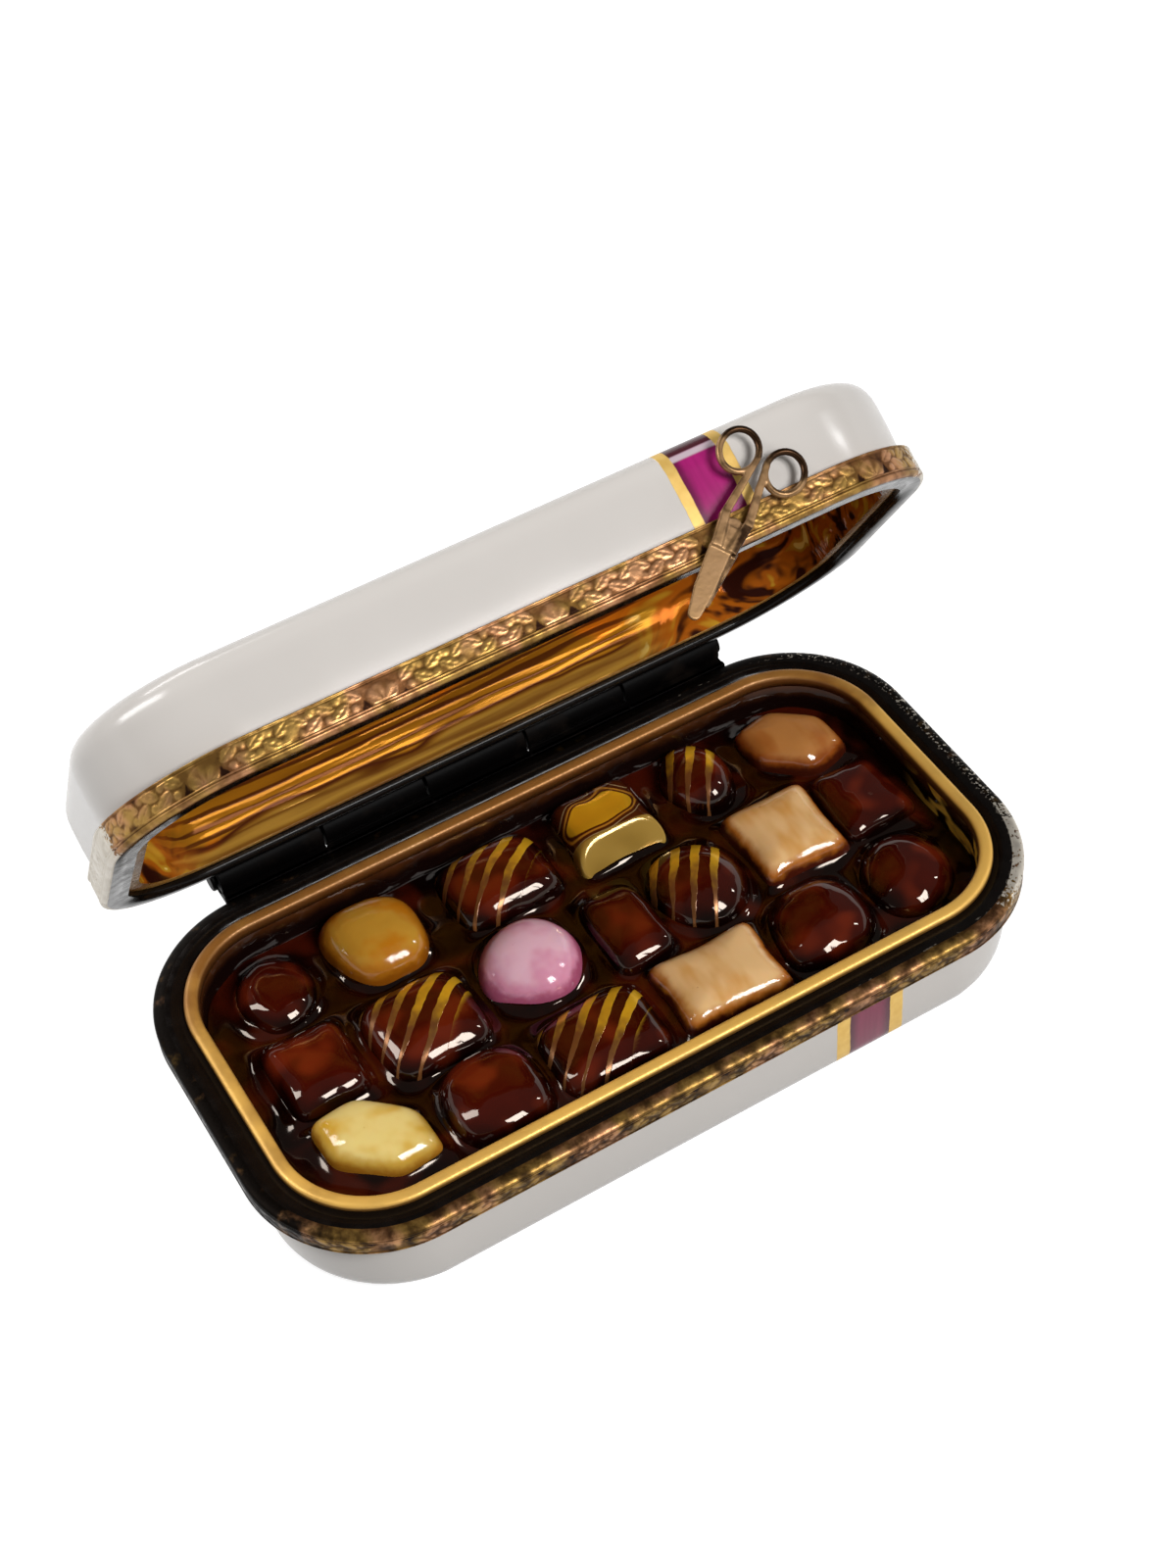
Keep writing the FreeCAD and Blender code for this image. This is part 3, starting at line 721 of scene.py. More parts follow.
def leaf_mask(along, across, tilt, length, width):
    """Height of a pointed leaf, veined, that starts at the origin and leans by a tilt."""
    run, side = turned(along, across, -tilt)
    run = run / length
    side = side / width
    inside = (run > 0) & (run < 1)
    spread = np.where(inside, np.sin(np.pi * np.clip(run, 0, 1) ** 0.75), 1e-6) + 1e-6
    body = np.sqrt(np.clip(1 - (side / spread) ** 2, 0, 1)) * inside
    vein = np.exp(-(side / 0.16) ** 2)
    ribs = 0.5 + 0.5 * np.cos(2 * np.pi * (4.5 * run - 0.9 * np.abs(side)))
    return body * (0.78 + 0.22 * ribs - 0.42 * vein)


def bud_mask(along, across, radius):
    """Height of a round bud about the origin."""
    return np.sqrt(np.clip(1 - (along ** 2 + across ** 2) / radius ** 2, 0, 1))


def frieze(along, across, period, height):
    """Relief of the cast ornament across a band: 0 in its notches, GROUND between, about 1 on its crowns."""
    span = (along / period + 0.5) % 1 * period - period / 2
    out = np.abs(span)
    shell_ribs = 0.75 + 0.25 * np.cos(9 * np.arctan2(span, across + 0.1 * MM))
    relief = shell_ribs * bud_mask(span, across, 0.85 * height)
    for step in range(5):
        start = (0.11 + 0.075 * step) * period
        tilt = 0.55 * (-1) ** step
        leaf = leaf_mask(out - start, across - 0.5 * height, tilt, 0.16 * period, 0.30 * height)
        relief = np.maximum(relief, leaf)
        side = across - (0.5 - 0.32 * (-1) ** step) * height
        relief = np.maximum(relief, 0.8 * bud_mask(out - start - 0.05 * period, side, 0.2 * height))
    relief = np.maximum(relief, 0.9 * bud_mask(out - period / 2, across - 0.5 * height, 0.4 * height))
    relief = GROUND + (1 - GROUND) * relief
    slope = 1 - across / (0.5 * height)
    notch = np.clip((0.036 * period * slope - np.abs(out - 0.1 * period)) / (0.012 * period), 0, 1)
    return relief * (1 - notch)


def side_shares(outward, *sides):
    """How much a ring's places face given sides, which sets the painted dark reflection and the silver speckling
    and painted sheen.
    """
    worn = []
    for amount, azimuth, low, high in sides:
        squarely = outward @ np.array(direction(azimuth, 0.0)[:2])
        worn.append(amount * np.clip((squarely - low) / (high - low), 0, 1))
    return np.max(worn, axis=0)


def make_mount(node_name, land, skirt_end, land_inset, depth, roll_width, dark_backed):
    """A bronze ring of L section: polished land, plain rolled edge and cast ornament on the skirt.

    A dark-backed mount is painted near black as a dark reflection but for its lit side, and is specked with
    silver, partly wear and partly painted sheen, on its edge alone.
    """
    roll_height = 0.5 * MM
    plain_end = 0.8 * MM
    bead = 0.22 * MM
    groove_depth = 0.08 * MM
    groove_width = 0.05 * MM
    way = 1 if skirt_end > land else -1
    skirt = abs(skirt_end - land)
    grooves = [roll_height + 0.04 * MM, plain_end, skirt - bead]
    places, outward, along = BAND_TRACK
    count = len(along)
    total = along[-1] + along[1]
    period = total / round(total / ORNAMENT_PERIOD)
    none = np.zeros(count)
    level = np.full(count, GROUND)
    pitted = 0.12 + 0.88 * np.clip(places[:, 0] / (30 * MM), 0, 1)
    # painted dark reflection away from the base band's lit side; silver speckling, partly wear and partly painted
    # sheen
    rubbed = side_shares(outward, BASE_LIT_SIDE) if dark_backed else np.ones(count)
    bare = side_shares(outward, *(BASE_SPECKS_AND_SHEEN if dark_backed else LID_SPECKS_AND_SHEEN))
    rows = [
        (land_inset, land, level, none, none),
        (roll_width + 0.4 * MM, land, level, 0.1 * pitted, none),
        (roll_width, land, level, 0.7 * pitted, bare),
    ]
    for down in np.linspace(0.04 * MM, skirt, SKIRT_ROWS):
        groove = sum(math.exp(-((down - place) / groove_width) ** 2) for place in grooves)
        inset = groove_depth * groove
        if down < roll_height:
            inset += roll_width * (1 - math.sqrt(1 - (1 - down / roll_height) ** 2))
        relief = np.full(count, 0.62 - 0.5 * min(groove, 1))
        if plain_end < down < skirt - bead:
            relief = frieze(along, np.full(count, down - plain_end), period, skirt - plain_end - bead)
            inset = inset + depth * (1 - relief)
        rows.append((inset, land + way * down, relief, pitted, none if dark_backed and down > plain_end else bare))
    back = land + way * LAND_THICKNESS
    for inset, height in ((SKIRT_THICKNESS, skirt_end), (SKIRT_THICKNESS, back), (land_inset, back)):
        rows.append((inset, height, level, none, none))
    points, faces = sweep(BAND_TRACK, [row[:2] for row in rows], closed=True)
    under_land = len(rows) - 2
    on_land = [int(row < 2 or row >= under_land) for row in range(len(rows))]
    chosen = np.repeat(on_land, count).tolist()
    _, _, reliefs, wears, bares = zip(*rows)
    piece = make_piece(
        f"{node_name}_engraved", points, faces, [BAND_METAL, LAND_METAL], chosen,
        relief=np.concatenate(reliefs), wear=np.concatenate(wears),
        bare=np.concatenate(bares), rubbed=np.tile(rubbed, len(rows)))
    dress(piece, node_name)


def make_base_lip():
    """Gilded collar with a rounded top."""
    bend = 0.6 * MM
    path = rounded([
        (LIP_INSET, lip_low.z, 0),
        (LIP_INSET, lip_high.z, bend),
        (TRAY_INSET, lip_high.z, bend),
        (TRAY_INSET, lip_low.z, 0),
    ], closed=True)
    points, faces = sweep(SMOOTH_TRACK, path, closed=True)
    dress(make_piece("base_lip_gilded", points, faces, [collar_gold()]), "base_lip")


# Confections and the glaze that they stand in

# Lines that bound each form's outline, as the pairs (a, b) of a * x + b * y = 1 in a unit box, the sharpness
# of its corners, the squareness of its side view, and how far its sides are drawn in
SQUARE = ((1, 0), (-1, 0), (0, 1), (0, -1))
LOZENGE = ((0, 1), (0, -1), (1, 0.52), (1, -0.52), (-1, 0.52), (-1, -0.52))
FORMS = {
    "dome": (SQUARE, 2.0, 2.1, 0.0),
    "pebble": (SQUARE, 2.5, 2.3, 0.0),
    "cushion": (SQUARE, 2.75, 2.4, 0.0),
    "pillow": (SQUARE, 4.5, 2.6, 0.0),
    "slab": (SQUARE, 6.5, 3.0, 0.0),
    "pad": (SQUARE, 8.0, 3.2, 0.03),
    "block": (SQUARE, 11.0, 2.8, 0.035),
    "lozenge": (LOZENGE, 11.0, 3.0, 0.0),
}

# Form, turn about Z in degrees, and finish of each confection
CONFECTIONS = {
    "lemon_lozenge": ("lozenge", -41.0, "lemon"),
    "dark_dome_left": ("pebble", 0.0, "chocolate"),
    "striped_bar_front": ("pillow", 0.0, "striped"),
    "caramel_pillow_front": ("block", 0.0, "caramel"),
    "dark_dome_right": ("pebble", 0.0, "chocolate"),
    "dark_oval_end": ("dome", -24.0, "chocolate"),
    "dark_square_left": ("slab", 0.0, "chocolate"),
    "striped_square_left": ("pillow", 0.0, "striped"),
    "pink_dragee": ("dome", -20.0, "pink"),
    "dark_square_middle": ("pillow", 0.0, "chocolate"),
    "striped_dome_middle": ("dome", 0.0, "striped"),
    "caramel_pillow_middle": ("block", 0.0, "caramel"),
    "dark_square_end": ("slab", 0.0, "chocolate"),
    "dark_oval_left": ("dome", 14.0, "chocolate"),
    "honey_pillow": ("cushion", 0.0, "honey"),
    "striped_bar_back": ("pillow", 0.0, "striped"),
    "foil_square": ("pad", 0.0, "foil"),
    "striped_dome_back": ("dome", 0.0, "striped"),
    "caramel_lozenge": ("lozenge", -40.0, "toffee"),
}

# Colours of the clouded glazes: body, patches, rim and foot, and how their patches are drawn out
DRAWN = (0.7, 2.0, 1.0)
GLAZES = {
    "caramel": ((0.90, 0.57, 0.26), (0.74, 0.36, 0.09), (0.50, 0.15, 0.015), (0.07, 0.010, 0.004), DRAWN),
    "toffee": ((0.52, 0.22, 0.060), (0.42, 0.14, 0.028), (0.30, 0.07, 0.008), (0.06, 0.009, 0.003), DRAWN),
    "lemon": ((0.82, 0.63, 0.22), (0.68, 0.38, 0.025), (0.63, 0.37, 0.055), (0.44, 0.18, 0.015)),
    "honey": ((0.60, 0.31, 0.035), (0.58, 0.20, 0.007), (0.49, 0.18, 0.010), (0.29, 0.085, 0.004)),
    "pink": ((0.93, 0.56, 0.67), (0.80, 0.34, 0.48), (0.77, 0.30, 0.44), (0.45, 0.10, 0.19)),
}

# Angle of the painted stripes from X, in degrees
STRIPE_ANGLES = {"pillow": 43.0, "dome": 57.0}


def reach(form, x, y):
    """How far out a place lies, with 1 on the form's outline, in its unit box."""
    lines, power, _, pinch = FORMS[form]
    plain = sum(np.maximum(a * x + b * y, 0) ** power for a, b in lines) ** (1 / power)
    return plain / (1 - pinch * np.cos(2 * np.arctan2(y, x)) ** 2)


def footprint(name):
    """Middle, half sizes, rise and turn of a confection, read from its node."""
    turn = math.radians(CONFECTIONS[name][1])
    x, y, z = np.array([vertex.co for vertex in frame["nodes"][name].data.vertices]).T
    own = np.array([*turned(x, y, -turn), z])
    low, high = own.min(1), own.max(1)
    middle = (low + high) / 2
    return turned(middle[0], middle[1], turn), (high - low)[:2] / 2, high[2] - low[2], turn


def wobble(points, seed):
    """Push points about by a few slow waves, so that no two pieces are alike."""
    draw = np.random.default_rng(seed)
    for _ in range(5):
        waves = draw.normal(size=3) / (3.5 * MM)
        push = draw.normal(size=3) * (0.09 * MM)
        points = points + np.outer(np.sin(points @ waves + draw.uniform(0, 2 * math.pi)), push)
    return points


def stripe_marks(points, form):
    """Where points lie along and across the painted stripes, and whether the paint reaches them."""
    run, side = turned(points[:, 0], points[:, 1], -math.radians(STRIPE_ANGLES[form]))
    zone = np.clip((side / np.abs(side).max() + 0.5) / 0.12, 0, 1)
    return {"stripe_run": run / np.abs(run).max(), "stripe_side": side, "stripe_zone": zone}


def front_facet(points, half_y, rise):
    """Heights after a steep plane has cut the front away, with the edge that it leaves rounded."""
    steepness = 1.2
    soft = 0.035 * rise
    plane = 0.15 * rise + steepness * (points[:, 1] + half_y)
    return -soft * np.logaddexp(-points[:, 2] / soft, -plane / soft)


def moulded(form, half, rise):
    """Points, faces and crown values of a form about its middle, with a skirt that sinks into the glaze."""
    sides, rows = 120, 26
    sink = 0.8 * MM
    draft = 0.05
    rim_start = 0.72
    power = 2 / FORMS[form][2]
    angle = circle(sides)
    edge = 1 / reach(form, np.cos(angle), np.sin(angle))
    outline = np.column_stack([half[0] * edge * np.cos(angle), half[1] * edge * np.sin(angle)])
    points = [[[0.0, 0.0, rise]]]
    crowns = [1.0]
    for slope in np.linspace(0, math.pi / 2, rows + 1)[1:]:
        out = math.sin(slope) ** power
        up = max(math.cos(slope), 0) ** power
        points.append(np.column_stack([outline * out * (1 + draft * (1 - up)), np.full(sides, rise * up)]))
        rim = max(out - rim_start, 0) / (1 - rim_start)
        crowns += [up * (1 - 0.4 * rim)] * sides
    points.append(points[-1] - (0, 0, sink))
    crowns += [0.0] * sides
    here = np.arange(sides)
    faces = np.column_stack([np.zeros(sides, int), 1 + here, 1 + (here + 1) % sides]).tolist()
    for row in range(rows):
        faces += strip(1 + row * sides, 1 + (row + 1) * sides, sides)
    faces.append((1 + rows * sides + here).tolist())
    return np.concatenate(points), faces, crowns


def make_confection(name, seed, material):
    """A confection that stands on its node's footprint."""
    form, _, finish = CONFECTIONS[name]
    centre, half, rise, turn = footprint(name)
    points, faces, crowns = moulded(form, half, rise)
    points = wobble(points, seed)
    marks = {}
    if finish == "striped":
        marks = stripe_marks(points, form)
    if finish == "foil":
        points[:, 2] = front_facet(points, half[1], rise)
        marks = {"own_x": points[:, 0] / half[0], "own_y": points[:, 1] / half[1]}
    x, y = turned(points[:, 0], points[:, 1], turn)
    points = np.column_stack([centre[0] + x, centre[1] + y, BED_TOP + points[:, 2]])
    dress(make_piece(f"{name}_glazed", points, faces, [material], crown=crowns, **marks), name)


def bed_grid(half_x, half_y, corner):
    """X and Y of a grid that fills the tray's floor, and how far each place is from the wall."""
    step = 0.2 * MM
    columns = round(2 * half_x / step)
    lines = round(2 * half_y / step)
    y = np.linspace(-half_y, half_y, lines + 1)
    past = np.clip(np.abs(y) - (half_y - corner), 0, corner)
    reach_x = half_x - corner + np.sqrt(corner ** 2 - past ** 2)
    x = np.linspace(-1, 1, columns + 1)[:, None] * reach_x
    y = np.broadcast_to(y, x.shape)
    out_x = np.abs(x) - (half_x - corner)
    out_y = np.abs(y) - (half_y - corner)
    from_corner = np.hypot(np.maximum(out_x, 0), np.maximum(out_y, 0))
    to_wall = corner - from_corner - np.minimum(np.maximum(out_x, out_y), 0)
    return x, y, np.maximum(to_wall, 0)


def bed_rise(x, y, to_wall):
    """How high the glaze is drawn up at the wall and round every confection, with ripples between."""
    climb, fade = 0.8 * MM, 0.75 * MM
    wall_climb, wall_fade = 0.12 * MM, 0.6 * MM
    ripple_height = 0.04 * MM
    draw_up = (wall_climb * np.exp(-to_wall / wall_fade)) ** 4
    for name, (form, _, _) in CONFECTIONS.items():
        centre, half, _, turn = footprint(name)
        own_x, own_y = turned(x - centre[0], y - centre[1], -turn)
        gap = np.maximum(reach(form, own_x / half[0], own_y / half[1]) - 1, 0) * min(half)
        draw_up += (climb * np.exp(-gap / fade)) ** 4
    ripple = np.zeros_like(x)
    draw = np.random.default_rng(7)
    for _ in range(6):
        way, phase = draw.uniform(0, 2 * math.pi, 2)
        length = draw.uniform(0.6, 1.1) * MM
        ripple += ripple_height * np.sin((x * math.cos(way) + y * math.sin(way)) / length + phase)
    return draw_up ** 0.25 + ripple


def make_bed():
    """Glaze that fills the tray's floor, drawn up round every confection and at the wall."""
    thinness = 0.3
    x, y, to_wall = bed_grid(HALF_X - TRAY_INSET, HALF_Y - TRAY_INSET, RIM_CORNER - TRAY_INSET)
    top = np.column_stack([x.ravel(), y.ravel(), (BED_TOP + bed_rise(x, y, to_wall)).ravel()])
    index = np.arange(x.size).reshape(x.shape)
    cells = np.stack([index[:-1, :-1], index[1:, :-1], index[1:, 1:], index[:-1, 1:]], -1)
    border = np.concatenate([index[:-1, 0], index[-1, :-1], index[:0:-1, -1], index[0, :0:-1]])
    floor = top[border] * (1, 1, 0) + (0, 0, FLOOR)
    below = x.size + np.arange(len(border))
    faces = cells.reshape(-1, 4).tolist()
    faces += np.column_stack([border, np.roll(border, -1), np.roll(below, -1), below]).tolist()
    faces.append(below.tolist())
    points = np.concatenate([top, floor])
    glaze = chocolate("bed_glaze", 0.10, 0.08 * MM)
    crown = np.full(len(points), thinness)
    dress(make_piece("confection_bed_glazed", points, faces, [glaze], crown=crown), "confection_bed")


def make_tray():
    """All confections, and the bed that they stand in."""
    finishes = {
        "chocolate": chocolate("chocolate_glaze", 0.06, 0.20 * MM),
        "striped": striped(),
        "foil": foil(),
    }
    for name, colours in GLAZES.items():
        finishes[name] = clouded(f"{name}_glaze", *colours)
    for seed, (name, (_, _, finish)) in enumerate(CONFECTIONS.items()):
        make_confection(name, seed, finishes[finish])
    make_bed()


# Hinge

KNUCKLES = 5
KNUCKLE_GAP = 0.2 * MM
BARREL_RADIUS = 1.9 * MM
PIN_RADIUS = 0.8 * MM
LEAF_THICKNESS = 0.6 * MM
LEAF_GAP = 0.1 * MM
HEEL_REACH = 1.85 * MM
EDGE_BREAK = 0.14 * MM
# The filler between the base's knuckles keeps this far from the lid's barrel and below the axis
FILLER_GAP = 0.12 * MM
# Edge of the thin strip on it, and its distance from the plate
STRIP_EDGE = 0.04 * MM


def mesh_from(shape, name):
    """A smooth mesh of a finished shape."""
    mesh = bpy.data.meshes.new(name)
    shape.to_mesh(mesh)
    shape.free()
    mesh.polygons.foreach_set("use_smooth", [True] * len(mesh.polygons))
    return mesh


def add_cylinder(shape, segments, radius, depth):
    """A cylinder along Z about the origin."""
    return bmesh.ops.create_cone(
        shape, cap_ends=True, segments=segments, radius1=radius, radius2=radius, depth=depth)["verts"]


def break_edges(shape, edges, size):
    """Round some edges off a little."""
    once = list(dict.fromkeys(edges))
    bmesh.ops.bevel(shape, geom=once, offset=size, segments=2, profile=0.5, affect="EDGES")


def add_block(shape, low, high, edge_break=EDGE_BREAK):
    """A block between two corners, with its edges broken."""
    made = bmesh.ops.create_cube(shape, size=1.0)["verts"]
    bmesh.ops.scale(shape, vec=Vector(high) - Vector(low), verts=made)
    bmesh.ops.translate(shape, vec=(Vector(low) + Vector(high)) / 2, verts=made)
    break_edges(shape, [edge for vertex in made for edge in vertex.link_edges], edge_break)


def add_rod(shape, radius, start, end, edge_break=EDGE_BREAK):
    """A rod along X on the hinge's axis, with its ends' edges broken."""
    made = add_cylinder(shape, 64, radius, end - start)
    bmesh.ops.rotate(shape, cent=(0, 0, 0), matrix=Matrix.Rotation(math.pi / 2, 3, "Y"), verts=made)
    bmesh.ops.translate(shape, vec=((start + end) / 2, AXIS.y, AXIS.z), verts=made)
    caps = [face for vertex in made for face in vertex.link_faces if len(face.verts) > 4]
    break_edges(shape, [edge for face in caps for edge in face.edges], edge_break)


def make_from(shape, name, material, node_name):
    """Dress a node in a finished shape."""
    mesh = mesh_from(shape, name)
    mesh.materials.append(material)
    piece = add_object(name, mesh)
    keep_flats_flat(piece)
    dress(piece, node_name)


def make_leaf(node_name, turns, plate, web, heel_top, material):
    """A leaf plate with a knuckle and a web at each of its turns.

    The base's leaf, which has a heel top, also has a stop heel at each of them, and a filler between them.
    """
    half = leaf_high.x
    pitch = 2 * half / KNUCKLES
    back = AXIS.y - BARREL_RADIUS - FILLER_GAP
    strip_front = HALF_Y + LEAF_THICKNESS + STRIP_EDGE
    strip_top = AXIS.z - FILLER_GAP
    shape = bmesh.new()
    add_block(shape, (-half, HALF_Y, plate[0]), (half, HALF_Y + LEAF_THICKNESS, plate[1]))
    for turn in range(KNUCKLES):
        start = -half + turn * pitch + KNUCKLE_GAP / 2
        end = start + pitch - KNUCKLE_GAP
        if turn in turns:
            add_rod(shape, BARREL_RADIUS, start, end)
            add_block(shape, (start, HALF_Y, web[0]), (end, AXIS.y, web[1]))
            if heel_top:
                add_block(shape, (start, AXIS.y, AXIS.z), (end, AXIS.y + HEEL_REACH, heel_top))
        elif heel_top:
            low_x, high_x = start - KNUCKLE_GAP, end + KNUCKLE_GAP
            add_block(shape, (low_x, HALF_Y, plate[0]), (high_x, back, plate[1]))
            add_block(shape, (low_x, strip_front, plate[0]), (high_x, back, strip_top), STRIP_EDGE)
    make_from(shape, f"{node_name}_cast", material, node_name)


def make_hinge():
    """Two leaves whose knuckles take turns, and a pin with a head at each end."""
    metal = hinge_bronze()
    half = leaf_high.x
    make_leaf("hinge_base_leaf", range(0, KNUCKLES, 2), (SKIRT_FOOT, LAND - LEAF_GAP),
              (AXIS.z - BARREL_RADIUS, LAND - LEAF_GAP), leaf_high.z, metal)
    make_leaf("hinge_lid_leaf", range(1, KNUCKLES, 2), (PARTING + LEAF_GAP, LID_SKIRT_TOP),
              (AXIS.z, AXIS.z + BARREL_RADIUS), None, metal)
    head = (pin_high.z - pin_low.z) / 2
    shape = bmesh.new()
    for start, end in ((pin_low.x, -half), (half, pin_high.x)):
        add_rod(shape, head, start, end, 0.3 * (end - start))
    add_rod(shape, PIN_RADIUS, -half, half)
    make_from(shape, "hinge_pin_turned", metal, "hinge_pin")


# Clasp, in its own plane from the pivot: X towards the loops, Z away from the lid

PIVOT = Vector((17.4 * MM, -HALF_Y - 0.3 * MM, PARTING + 1.65 * MM))
TILT = math.radians(38.3)
CLASP_MIDDLE = 0.45 * MM
LOOP_PLACE = (6.65 * MM, 2.2 * MM)
LOOP_RADIUS = 1.74 * MM
LOOP_STRETCH = 1.16
LOOP_WIRE = 0.32 * MM
LOOP_FULLNESS = 1.1
TIP = (-8.7 * MM, 0.05 * MM, 0.45 * MM)
TIP_RADIUS = 0.58 * MM
TIP_THICKNESS = 0.4 * MM
POST = (0, 0, 0.05 * MM)
POST_RADIUS = 0.9 * MM
POST_LENGTH = 0.7 * MM
CASTING_VOXEL = 0.065 * MM

# Its bars, in millimetres: where each starts and ends, its widths there, and its lowest and highest level
SHANK = ((0.5, 1.18), (6.8, 0.46), 0.8, 0.55, 0.1, 0.8)
CHEEK = ((0.9, 1.13), (-2.4, 0.72), 0.8, 0.95, 0.0, 0.9)
PIVOT_PLATE = ((-0.1, 0.0), (-2.4, 0.0), 1.9, 1.7, 0.05, 0.8)
UNDER_BLADE = ((-2.0, -0.70), (-7.6, -0.50), 1.4, 0.7, 0.0, 0.36)
UPPER_BLADE = ((-2.1, 0.27), (-6.5, 0.15), 2.05, 1.8, 0.25, 0.66)
BLADE_END = ((-6.4, 0.15), (-8.7, 0.05), 1.8, 1.2, 0.25, 0.66)


def add_faces(shape, points, faces):
    """Add faces between new points to a shape."""
    made = [shape.verts.new(point) for point in points]
    for face in faces:
        shape.faces.new([made[index] for index in face])


def add_bar(shape, bar, way=1):
    """A tapered bar in the clasp's plane, mirrored where its way is -1."""
    start, end, start_width, end_width, low, high = bar
    start, end = [Vector((x * MM, way * y * MM)) for x, y in (start, end)]
    ahead = (end - start).normalized()
    side = Vector((-ahead.y, ahead.x))
    at_start = side * (start_width * MM) / 2
    at_end = side * (end_width * MM) / 2
    corners = [start + at_start, start - at_start, end - at_end, end + at_end]
    points = [(corner.x, corner.y, level * MM) for level in (low, high) for corner in corners]
    add_faces(shape, points, strip(0, 4, 4) + [[3, 2, 1, 0], [4, 5, 6, 7]])


def add_loop(shape, centre):
    """A closed finger loop."""
    turn = circle(64)
    outward = np.column_stack([np.cos(turn), np.sin(turn)])
    middle = centre + outward * (LOOP_RADIUS * LOOP_STRETCH, LOOP_RADIUS)
    wire_height = LOOP_WIRE * LOOP_FULLNESS
    wire = [(-LOOP_WIRE * math.cos(a), CLASP_MIDDLE + wire_height * math.sin(a)) for a in circle(20)]
    add_faces(shape, *sweep((middle, outward), wire, closed=True))


def clasp_grime(points):
    """How brown the clasp is: on the loops' far side, along one side of the blade and low down."""
    along, across, up = points.T / MM
    loops = 0.75 * np.clip((along - 6.4) / 1.6, 0, 1)
    edge = 0.6 * np.clip((-across - 0.60) / 0.3, 0, 1) * (along < 0.5)
    low = 0.4 * np.clip((0.35 - up) / 0.3, 0, 1)
    plate = 0.22 * np.clip((along + 2.4) / 0.5, 0, 1)
    return 0.1 + plate + loops + edge + low


def clasp_shape():
    """Loops, bars, rounded tip and post of the clasp, before they are cast as one."""
    shape = bmesh.new()
    for way in (-1, 1):
        add_loop(shape, (LOOP_PLACE[0], way * LOOP_PLACE[1]))
        add_bar(shape, SHANK, way)
        add_bar(shape, CHEEK, way)
    for bar in (PIVOT_PLATE, UNDER_BLADE, UPPER_BLADE, BLADE_END):
        add_bar(shape, bar)
    tip = add_cylinder(shape, 32, TIP_RADIUS, TIP_THICKNESS)
    bmesh.ops.translate(shape, vec=TIP, verts=tip)
    post = add_cylinder(shape, 40, POST_RADIUS, POST_LENGTH)
    bmesh.ops.translate(shape, vec=POST, verts=post)
    bmesh.ops.recalc_face_normals(shape, faces=shape.faces)
    return shape


def make_scissors():
    """One casting: two loops on shanks that spread to a pivot plate, and two blades laid on each other."""
    name = "scissors_clasp_cast"
    piece = add_object(name, mesh_from(clasp_shape(), name))
    remesh = piece.modifiers.new("one_casting", "REMESH")
    remesh.mode = "VOXEL"
    remesh.voxel_size = CASTING_VOXEL
    remesh.use_smooth_shade = True
    relax = piece.modifiers.new("cast_edges", "SMOOTH")
    relax.factor = 0.5
    relax.iterations = 9
    graph = bpy.context.evaluated_depsgraph_get()
    cast = bpy.data.meshes.new_from_object(piece.evaluated_get(graph))
    piece.modifiers.clear()
    piece.data = cast
    cast.materials.clear()
    cast.materials.append(clasp_brass())
    mark(cast, "grime", clasp_grime(np.array([vertex.co for vertex in cast.vertices])))
    upright = Matrix.Rotation(math.pi / 2, 4, "X") @ Matrix.Rotation(TILT, 4, "Z")
    cast.transform(Matrix.Translation(PIVOT) @ upright)
    dress(piece, "scissors_clasp")


# Stage, light and camera

# Azimuth and elevation in degrees, distance, width and height in metres, and watts
LIGHTS = {
    "key_left_pane": (14.0, 45.0, 0.60, 0.090, 0.19, 1.26),
    "key_right_pane": (27.0, 45.0, 0.60, 0.090, 0.19, 1.26),
    "side_pane": (77.0, 35.0, 0.60, 0.030, 0.08, 0.22),
    "left_pane": (-118.0, 42.0, 0.60, 0.12, 0.36, 1.60),
    "back_strip": (190.0, 36.0, 0.70, 0.40, 0.12, 1.2),
}


def direction(azimuth, elevation):
    """Unit vector towards a viewer at these angles: azimuth 0 is -Y and 90 is +X."""
    across, up = math.radians(azimuth), math.radians(elevation)
    return Vector((math.sin(across) * math.cos(up), -math.cos(across) * math.cos(up), math.sin(up)))


def pale_backdrop():
    """Matt pale floor that mirrors and the camera see lifted to white, with the object's shadow kept."""
    lift = 0.80
    material = bpy.data.materials.new("backdrop_white")
    material.use_nodes = True
    tree = material.node_tree
    tree.nodes.remove(tree.nodes["Principled BSDF"])
    rays = add_node(tree, "LightPath").outputs
    seen = calc("MAXIMUM", Signal(rays["Is Camera Ray"]), Signal(rays["Is Glossy Ray"]))
    seen = calc("MAXIMUM", seen, Signal(rays["Is Transmission Ray"]))
    matt = add_node(tree, "BsdfDiffuse", Color=(0.38, 0.38, 0.38, 1.0))
    glow = add_node(tree, "Emission", Color=(1.0, 1.0, 1.0, 1.0), Strength=seen * lift)
    both = add_node(tree, "AddShader")
    feed(Signal(matt.outputs[0]), both.inputs[0])
    feed(Signal(glow.outputs[0]), both.inputs[1])
    feed(Signal(both.outputs[0]), tree.nodes["Material Output"].inputs["Surface"])
    return material


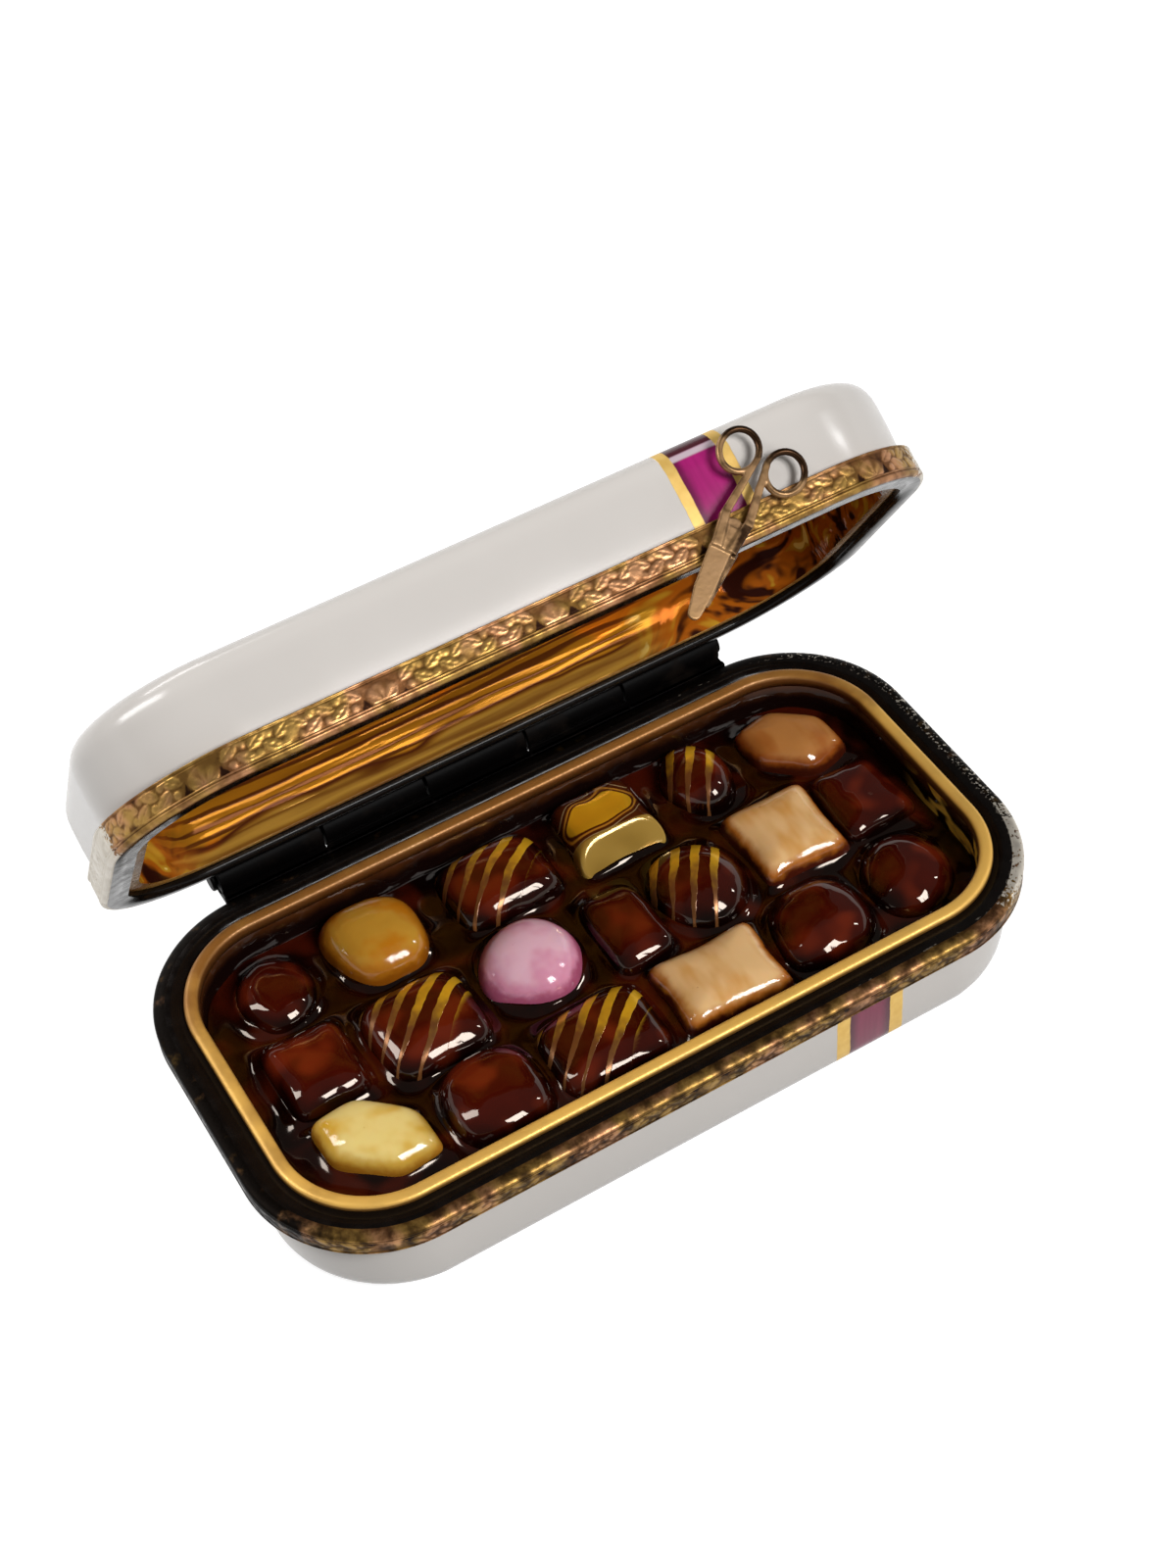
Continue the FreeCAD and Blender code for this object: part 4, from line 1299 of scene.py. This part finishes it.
def make_stage():
    """A floor that curves up into a low round backdrop."""
    radius, height, bend = 1.3, 0.45, 0.3
    flat = radius - bend
    profile = [(0.001, 0.0), (flat, 0.0)]
    for angle in np.linspace(0.1, 1.57, 12):
        profile.append((flat + bend * math.sin(angle), bend - bend * math.cos(angle)))
    profile.append((radius, height))
    turn = circle(96)
    outward = np.column_stack([np.cos(turn), np.sin(turn)])
    points, faces = sweep((0 * outward, outward), [(-out, up) for out, up in profile], closed=False)
    without_caps = faces[:-2]
    stage = make_piece("backdrop", points, without_caps, [pale_backdrop()])


def make_lights():
    """Window panes in a dim room."""
    target = Vector((0, 0, LAND))
    for name, (azimuth, elevation, distance, width, height, power) in LIGHTS.items():
        data = bpy.data.lights.new(name, "AREA")
        data.shape = "RECTANGLE"
        data.size = width
        data.size_y = height
        data.energy = power
        lamp = add_object(name, data)
        out = direction(azimuth, elevation)
        lamp.location = target + out * distance
        lamp.rotation_mode = "QUATERNION"
        lamp.rotation_quaternion = (-out).to_track_quat("-Z", "Y")
    world = bpy.data.worlds.new("dim_room")
    world.use_nodes = True
    sky = world.node_tree.nodes["Background"]
    feed((1.0, 0.98, 0.95, 1.0), sky.inputs["Color"])
    feed(0.12, sky.inputs["Strength"])
    bpy.context.scene.world = world


def make_camera():
    """The photograph's view."""
    back = direction(VIEW_AZIMUTH, VIEW_ELEVATION)
    right = direction(VIEW_AZIMUTH + 90.0, 0.0)
    across, upright = turned(right, back.cross(right), -math.radians(VIEW_ROLL))
    place = across * VIEW_RIGHT + upright * VIEW_UP + back * VIEW_DISTANCE + Vector((0, 0, LAND))
    data = bpy.data.cameras.new("photo_view")
    data.lens = LENS
    data.clip_start = 0.01
    camera = add_object("photo_view", data)
    facing = Matrix((across, upright, back)).transposed().to_4x4()
    camera.matrix_world = Matrix.Translation(place) @ facing
    bpy.context.scene.camera = camera
    bpy.context.scene.view_settings.view_transform = "Standard"


make_base_shell()
make_mount(
    "base_mount", LAND, SKIRT_FOOT, LAND_WIDTH, depth=0.06 * MM, roll_width=1.15 * MM, dark_backed=True)
make_base_lip()
make_tray()
make_hinge()
make_lid_shell()
make_mount(
    "lid_mount", PARTING, LID_SKIRT_TOP, LAND_WIDTH - LIP_CLEARANCE,
    depth=0.13 * MM, roll_width=0.5 * MM, dark_backed=False)
make_scissors()
make_stage()
make_lights()
make_camera()
